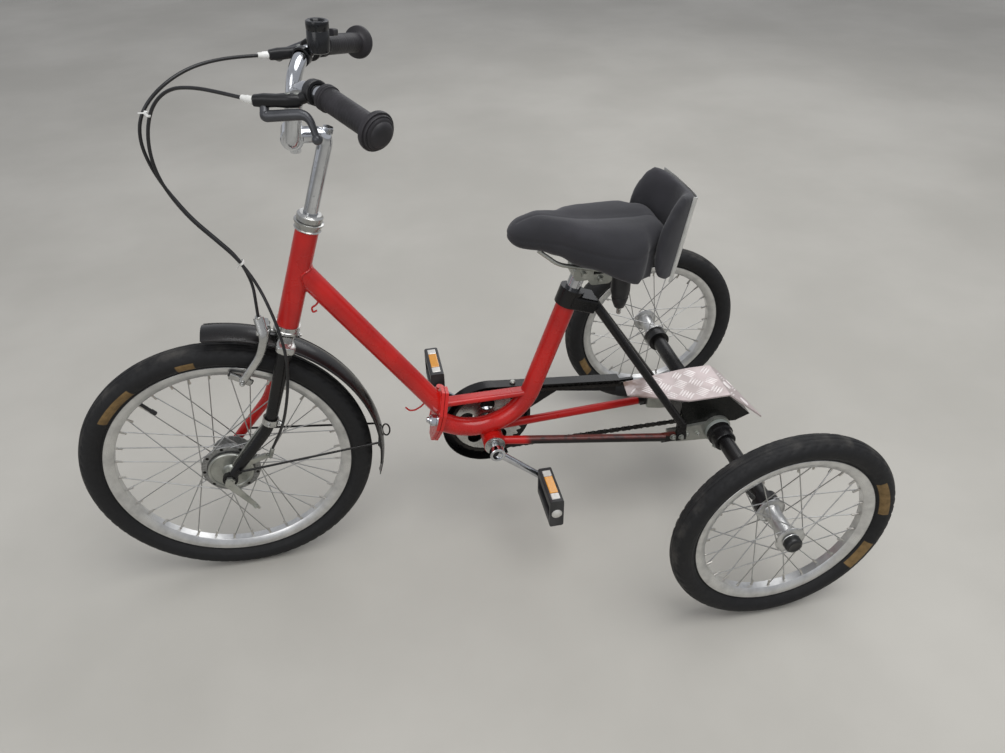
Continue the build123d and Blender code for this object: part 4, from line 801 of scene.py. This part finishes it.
def swell(name, node, rounds, cap, spread, seams):
    """Pad: a copy of the plain solid, remeshed, its edges rounded and its skin put out again by what the
    rounding took, then blown up by the cloth solver with no point moving further than the cap. Last,
    seams(points, normals) draws the stitched lines in."""
    pad = placed(name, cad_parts[node].data.copy())
    shape = bmesh.new()
    shape.from_mesh(pad.data)
    bmesh.ops.remove_doubles(shape, verts=shape.verts, dist=1e-5)
    shape.to_mesh(pad.data)
    shape.free()
    remesh = pad.modifiers.new("remesh", "REMESH")
    remesh.mode, remesh.voxel_size = "VOXEL", 0.0045

    def settle():
        bpy.context.view_layer.update()
        done = bpy.data.meshes.new_from_object(pad.evaluated_get(bpy.context.evaluated_depsgraph_get()))
        pad.modifiers.clear()
        pad.data = done

    def read(field):
        values = np.empty(len(pad.data.vertices) * 3)
        pad.data.vertices.foreach_get(field, values)
        return values.reshape(-1, 3)

    def rounded(points, rounds):
        """Rounds edges off: in each round p becomes (p + mean of its neighbours) / 2."""
        count = np.bincount(links.ravel(), minlength=len(points))[:, None]
        for _ in range(rounds):
            mean = np.zeros_like(points)
            np.add.at(mean, links[:, 0], points[links[:, 1]])
            np.add.at(mean, links[:, 1], points[links[:, 0]])
            points = (points + mean / count) / 2
        return points

    def put(points):
        pad.data.vertices.foreach_set("co", points.ravel())
        pad.data.update()

    settle()
    links = np.empty(len(pad.data.edges) * 2, dtype=np.int32)
    pad.data.edges.foreach_get("vertices", links)
    links = links.reshape(-1, 2)
    put(rounded(read("co"), rounds))
    start = read("co") + read("normal") * spread
    put(start)
    cloth = pad.modifiers.new("cloth", "CLOTH")
    cloth.settings.use_pressure = True
    cloth.settings.uniform_pressure_force = 4.0
    cloth.settings.effector_weights.gravity = 0.0
    cloth.settings.mass = 0.3
    cloth.point_cache.frame_end = 20
    for step in range(1, 21):
        bpy.context.scene.frame_set(step)
    settle()
    moved = read("co") - start
    far = np.linalg.norm(moved, axis=1, keepdims=True)
    put(rounded(start + moved * np.minimum(1, cap / np.maximum(far, 1e-9)), 5))
    fine = pad.modifiers.new("fine", "SUBSURF")
    fine.levels = fine.render_levels = 1
    settle()
    put(seams(read("co"), read("normal")))
    pad.data.shade_smooth()
    pad.data.materials.clear()
    pad.data.materials.append(neoprene_cover)
    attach(pad, "frame")
    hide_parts(node)


def saddle_seams(spots, outward):
    """A valley 4.5 exp(-(y / 15)²) deep along the top, in millimetres, a stitched line beside its middle,
    and one along each side."""
    x, y, z = (spots * 1000).T
    x = x + axle_back
    top = np.clip(outward[:, 2], 0, 1)
    valley = 4.5 * np.exp(-(y / 15) ** 2) * np.clip((x - 130) / 60, 0, 1) * np.clip((345 - x) / 60, 0, 1)
    seam = 1.1 * np.exp(-((y - 3) / 2.4) ** 2) * (x < 385)
    side = 0.9 * np.exp(-((z - np.interp(x, [130, 212, 318, 395], [612, 606, 622, 632])) / 2.6) **
        2) * (1 - top)
    return spots - (top * (valley + seam) / 1000)[:, None] * UP - (side / 1000)[:, None] * outward


def back_seams(spots, outward):
    """A stitched line 1 mm deep where the pad's skin is 73 mm from the upright line at x 200."""
    away = np.hypot(spots[:, 0] + 0.2775, spots[:, 1]) * 1000
    return spots - (np.exp(-((away - 73) / 2.2) ** 2) / 1000)[:, None] * outward


swell("padded_saddle", "saddle", 26, 0.003, 0.003, saddle_seams)
swell("padded_back", "backrest_pad", 12, 0.0015, -0.001, back_seams)
dress(finish("bare_plate", plated((214, 214, 210), (190, 190, 186), 0.35), Metallic=0.5), "backrest_plate")
dress(zinc, "saddle_clamp")
dress(chrome, "seat_post")
dress(black, "seat_collar", "seat_struts")
piece("saddle_rails", [tube(bent(at((350, 12 * k, 603), (318, 21 * k, 578), (236, 21 * k, 556),
    (190, 34 * k, 584)), [0.012, 0.014]), 3.5, LEFT, 20) for k in (1, -1)] +
    [rod(at(196, -45, 586), at(196, 45, 586), 3.5), rod(at(346, -16, 606), at(346, 16, 606), 3.5),
    loft(at(196, 0, 586), (-1, 0, 0), LEFT, [(0, 14.5, 2.4), (70, 14.5, 2.4)], 6.0)] +
    bolt(at(243, 20, 541), LEFT, 5.0, 4) + bolt(at(243, -20, 541), (0, -1, 0), 5.0, 4), zinc, "frame",
    ["saddle_frame"])
stop_foot = at(199, 0, 0)
stop_rubber = finish("stop_rubber", plastic((24, 24, 25), (37, 36, 37), 0.5))
piece("rubber_stop", [turned(stop_foot, UP, [(469, 0), (469, 7.5), (470, 9), (480, 12.5), (489, 15),
    (492, 14.2), (495, 15.6), (503, 17), (586, 17), (588, 16), (588, 0)], 40)], stop_rubber, "frame")
piece("stop_stud", [turned(stop_foot, UP, [(455, 0), (455, 3.2), (456, 4), (470, 4.5), (470, 0)], 24)], alloy,
    "frame")
bolt_rows = ((93, 63.2, 201, 4.8, 4), (76, 63.2, 198, 4.2, 4), (62, 57, 198, 4.6, 4), (40, 57, 195, 4.6, 4),
             (9, 75, 175, 4.4, 5))
carriage_bolts = []
for k in (1, -1):
    for x, y, z, head, height in bolt_rows:
        carriage_bolts += bolt(at(x, y * k, z), (0, k, 0), head, height)
piece("carriage_bolts", carriage_bolts, zinc, "frame")


# Drive: chromed steel cranks on a hollow ended spindle, a steel chainring and sprocket with a black
# oiled roller chain between them, a black pressed guard outside it, and black plastic pedals with a
# bearing cap and an amber reflector between two bright ends on each face.
eyes = {1: at(348, 0, 151.4), -1: at(520, 0, 288.6)}
crank_parts, hollow_shade_discs = [rod(bb + (0, -0.065, 0), bb + (0, 0.056, 0), 8.5, 0.4, 32)], []
for k, arm_y, tip_y in ((1, 54.0, 66.0), (-1, 65.0, 69.0)):
    inner = 47 if k > 0 else 44
    crank_parts.append(turned(bb, (0, k, 0), [(inner, 8.5), (inner + 2, 12.5), (arm_y - 4, 13.8),
        (arm_y + 8, 14.4), (arm_y + 9, 13.4), (arm_y + 9, 9.6), (arm_y + 5, 9.4), (arm_y + 5, 0)], 40))
    # Painted shade: a thin black disc deep in each crank's hollow end stands for the dark inside.
    hollow_shade_discs.append(rod(bb + (0, k * (arm_y + 5) / 1000, 0), bb + (0, k * (arm_y + 5.6) / 1000, 0), 9.2,
        0.2, 28))
    eye = eyes[k]
    arm = np.linspace(bb + (0, k * arm_y / 1000, 0), eye + (0, k * tip_y / 1000, 0), 12)
    crank_parts += [tube(arm, np.interp(np.linspace(0, 1, 12), [0, 0.12, 0.85, 1], [9.5, 7.6, 6.4, 7.8]),
        LEFT, 28, 0.85), turned(eye, (0, k, 0), [(tip_y - 6, 0), (tip_y - 6, 9), (tip_y - 5, 10.2),
        (tip_y + 5, 10.2), (tip_y + 6, 9), (tip_y + 6, 4), (tip_y + 70, 4), (tip_y + 70, 0)], 32)]
piece("crank_arms", crank_parts, chrome, "crankset", ["cranks"])
piece("spindle_hollow_shade", hollow_shade_discs, black_plastic_and_shade, "crankset")
piece("bracket_rings", [turned(bb, (0, k, 0), [(34, 8.8), (34, 19.4), (35, 19.4), (35.2, 17), (36.4, 16.6),
    (36.9, 12.5), (37, 8.8), (34, 8.8)], 40) for k in (1, -1)], alloy, "frame",
    ["bottom_bracket_cups"])
dress(alloy, "chainring")
chain_y, ring_r, sprocket_r, pitch = -40, 70, 50.6, 12.7
drop = crank_z - rear_r
tilt = np.arctan2(drop, crank_x)
lift = np.arcsin((ring_r - sprocket_r) / np.hypot(crank_x, drop))
angle_low, angle_high = tilt - pi / 2 - lift, tilt + pi / 2 + lift
front_arc = np.linspace(angle_low, angle_high, 80)
rear_arc = np.linspace(angle_high, angle_low + 2 * pi, 60)
loop = np.concatenate([(x, z) + r * np.stack([np.cos(arc), np.sin(arc)], -1) for x, z, r, arc in
    ((crank_x, crank_z, ring_r, front_arc), (0, rear_r, sprocket_r, rear_arc))])
loop = np.concatenate([loop, loop[:1]])
run = np.concatenate([[0], np.cumsum(np.linalg.norm(np.diff(loop, axis=0), axis=1))])
links = int(round(run[-1] / pitch / 2)) * 2
pins = np.stack([np.interp(np.linspace(0, run[-1], links + 1), run, loop[:, k]) for k in (0, 1)], -1)
chain_parts = []
for k in range(links):
    (xa, za), (xb, zb) = pins[k], pins[k + 1]
    first, last = at(xa, chain_y, za), at(xb, chain_y, zb)
    way = unit(last - first)
    for side in (1, -1):
        offset = (0, side * (0.003 if k % 2 else 0.002), 0)
        chain_parts.append(loft(first + offset - way * 0.0038, way, LEFT, [(0, 0.45, 1.2), (0.8, 0.5, 3.0),
            (3, 0.5, 3.9), (6, 0.5, 3.0), (10.3, 0.5, 3.0), (13.5, 0.5, 3.9), (15.7, 0.5, 3.0),
            (16.5, 0.45, 1.2)], 2.0, 8))
    chain_parts.append(rod(first + (0, -0.0034, 0), first + (0, 0.0034, 0), 3.7, 0.1, 8))
piece("roller_chain", chain_parts, finish("chain_black", plated((46, 43, 40), (26, 24, 23), 0.42),
    Metallic=0.6), "frame", ["chain"])


def toothed(centre, root, tip, teeth, half):
    """Toothed ring: a flat ring whose outer radius rises from root to tip once for every tooth."""
    a = np.linspace(0, 2 * pi, teeth * 8 + 1)
    outer = root + (tip - root) * np.clip(0.5 + 0.9 * np.sin(a * teeth), 0, 1)
    inner = root - 5 + 0 * outer
    rows = [(inner, -half), (outer, -half * 0.7), (outer, half * 0.7), (inner, half), (inner, -half)]
    return np.stack([centre + np.stack([r * np.cos(a), 0 * a + y, r * np.sin(a)], -1) / 1000 for r, y in
        rows])


piece("chainring_teeth", [toothed(at(crank_x, chain_y, crank_z), 66.0, 71.5, 34, 1.4)], alloy, "crankset")
piece("sprocket_teeth", [toothed(at(0, chain_y, rear_r), 46.4, 52.0, 25, 1.4)], zinc, "rear_wheel_right")
dress(finish("sprocket_steel", plated((150, 148, 143), (118, 116, 112), 0.34), Metallic=0.8),
    "drive_sprocket")
dress(finish("guard_black", enamel((16, 16, 17), (26, 25, 25)), Specular_IOR_Level=0.25), "chain_guard")
piece("guard_screw", [turned(at(383, -41, 296), UP, [(0, 0), (0, 4), (7, 4), (8, 5.4), (10, 5.4), (12, 3.4),
    (12, 0)], 24)], zinc, "frame")
dress(finish("pedal_plastic", plastic((34, 34, 35), (52, 52, 53), 0.45)), "pedal_left", "pedal_right")
amber = finish("amber_reflector", lambda point: (point.noise(700.0, 2.0).mix((196, 124, 24), (222, 158, 48)),
    0.12 + 0.1 * point.noise(300.0, 2.0), point.noise(900.0, 1.0), 0.0001), Coat_Weight=0.6)
silver_ends = finish("reflector_ends", plated((216, 214, 208), (192, 190, 184), 0.25), Metallic=0.4)
for k, name in ((1, "left"), (-1, "right")):
    inner = 74 if k > 0 else 77
    lenses, ends = [], []
    for step in (1, -1):
        base = eyes[k] + (0, 0, step * 0.0306)
        for list_of, y_from, length in ((lenses, 24, 44), (ends, 8, 15), (ends, 69, 15)):
            list_of.append(loft(base + (0, k * (inner + y_from) / 1000, 0), (0, k, 0), (1, 0, 0),
                [(0, 7, 0.6), (0.8, 7.6, 1.4), (length - 0.8, 7.6, 1.4), (length, 7, 0.6)], 8.0, 40))
    ends.append(turned(eyes[k], (0, k, 0), [(inner + 88, 0), (inner + 88, 10), (inner + 91, 9.6),
        (inner + 93.5, 6), (inner + 94, 0)], 32))
    piece(f"pedal_{name}_lenses", lenses, amber, f"pedal_{name}")
    piece(f"pedal_{name}_bright_ends", ends, silver_ends, f"pedal_{name}")


# Rear carriage: a black folded steel box under a plate of bare chequer alloy, whose raised bars stand
# in groups of five that change direction, with silver carrier plates, bearing housings with a grey
# collar, black axle tubes and bright hubs with black caps.
def chequer(point):
    """Worn bare alloy with a pink cast, and brown dirt trodden in near the front corner."""
    dirt = (point.parts()[0] + axle_back / 1000).rise(0.09, 0.17) * point.noise(30.0, 5.0).rise(0.38, 0.62)
    cloud = point.noise(22.0, 4.0)
    return dirt.mix(cloud.rise(0.3, 0.7).mix((196, 183, 181), (178, 166, 163)),
        (112, 88, 76)), 0.4 + 0.2 * cloud, point.noise(600.0, 3.0), 0.00004


chequer_alloy = finish("chequer_alloy", chequer, Metallic=0.35)
dress(chequer_alloy, "tread_plate")


def raised_bars(corner, along, aside, normal, length, width, outline):
    """Lens shaped bars over a flat plate, five to a 32 mm square, turned the other way from square to
    square, and left out where they would cross the plate's outline."""
    outline = np.asarray(outline, float)
    closed = np.concatenate([outline, outline[:1]])
    edge = np.diff(closed, axis=0)
    cell, bars = 32, []
    for i in range(int(length // cell) + 1):
        for j in range(int(width // cell) + 1):
            turn = 1 if (i + j) % 2 else -1
            for k in range(5):
                u, v = cell * (i + 0.5) + (k - 2) * 3.8 * turn, cell * (j + 0.5) + (k - 2) * 3.8
                ends = np.array([(u - 8, v + 8 * turn), (u + 8, v - 8 * turn)])
                across, up = ends[:, 0, None] - closed[:-1, 0], ends[:, 1, None] - closed[:-1, 1]
                reach = edge[:, 0] * up - edge[:, 1] * across
                if (reach > 2.5 * np.linalg.norm(edge, axis=1)).all():
                    first, last = [corner + along * a / 1000 + aside * b / 1000 for a, b in ends]
                    bars.append(loft(first - normal * 0.0003, last - first, np.cross(normal, last - first),
                        [(0, 0.3, 0.3), (4, 1.6, 1.0), (11.3, 2.0, 1.4), (18.6, 1.6, 1.0), (22.6, 0.3, 0.3)],
                        2.0, 10))
    return bars


fall = radians(40)
bars = raised_bars(at(-20, -50, 273), *np.eye(3), 190, 100, [(0, 0), (50, 0), (185, 16), (190, 57), (83, 100),
    (0, 100)])
bars += raised_bars(at(-20, 56, 273), *np.array([(0, -1, 0), (-cos(fall), 0, -sin(fall)),
    (-sin(fall), 0, cos(fall))]), 106, 94, [(6, 0), (106, 0), (106, 26), (0, 94)])
# The raised bars are the plate's own alloy in a paler shade: a painted highlight on them.
piece("raised_bars", bars, finish("bar_highlight_alloy", plated((236, 229, 226), (214, 206, 203), 0.3), Metallic=0.25),
    "frame")
box_black = finish("box_black", enamel((15, 16, 14), (24, 24, 22)), Specular_IOR_Level=0.2)
dress(box_black, "carriage_box")
piece("box_front", [loft(at(75.5, -33, 241), LEFT, (1, 0, 0), [(0, 1.2, 26), (80, 1.2, 26)], 12.0, 32)],
    box_black, "frame")
dress(zinc, "carrier_plates")
dress(black, "axle_tubes")
housings = [turned(rear_axle, (0, k, 0), [(65, 15.2), (65, 23.6), (66, 24.6), (76, 24.6), (78, 21.6),
    (96.6, 20.8), (98, 19.6), (98, 15.2), (65, 15.2)], 48) for k in (1, -1)]
collars = [sleeve(at(0, 61 * k, rear_r), (0, k, 0), 4, 15.2, 25, (1, 1), 48) for k in (1, -1)]
piece("black_housings", housings, black, "frame", ["bearing_housings"])
piece("grey_collars", collars, finish("housing_grey", plastic((132, 136, 132), (112, 117, 112), 0.45)),
    "frame")
for k, name in ((1, "left"), (-1, "right")):
    near, far = 282.0, 350.0
    flange = [(-1.5, 25), (-0.6, 26), (0.6, 26), (1.5, 25)]
    shell = ([(near - 1.5, 8.2)] + [(near + s, r) for s, r in flange + [(3, 17), (8, 14)]]
             + [(far + s, r) for s, r in [(-8, 14), (-3, 17)] + flange + [(3, 15), (4, 14.4), (4, 8.2)]]
             + [(near - 1.5, 8.2)])
    grids = [turned(rear_axle, (0, k, 0), shell, 56),
             rod(rear_axle + (0, 0.052 if k > 0 else -0.272, 0), rear_axle + (0, k * 0.356, 0), 7.4, 0.3, 24)]
    piece(f"rear_{name}_shell", grids, finish(f"rear_{name}_hub_alloy", brushed(rear_axle, (204, 204, 202),
        (176, 176, 174), 0.22), Metallic=0.95), f"rear_wheel_{name}", [f"rear_{name}_hub"])
    piece(f"rear_{name}_cap", [turned(rear_axle, (0, k, 0), [(far + 4, 0), (far + 4, 14.4), (far + 5, 15),
        (far + 15, 14.6), (far + 17.4, 12.6), (far + 18, 10), (far + 16.5, 8), (far + 16.5, 0)], 40)],
        finish(f"rear_{name}_cap_black", plastic((20, 20, 20), (32, 32, 32), 0.35)), f"rear_wheel_{name}")
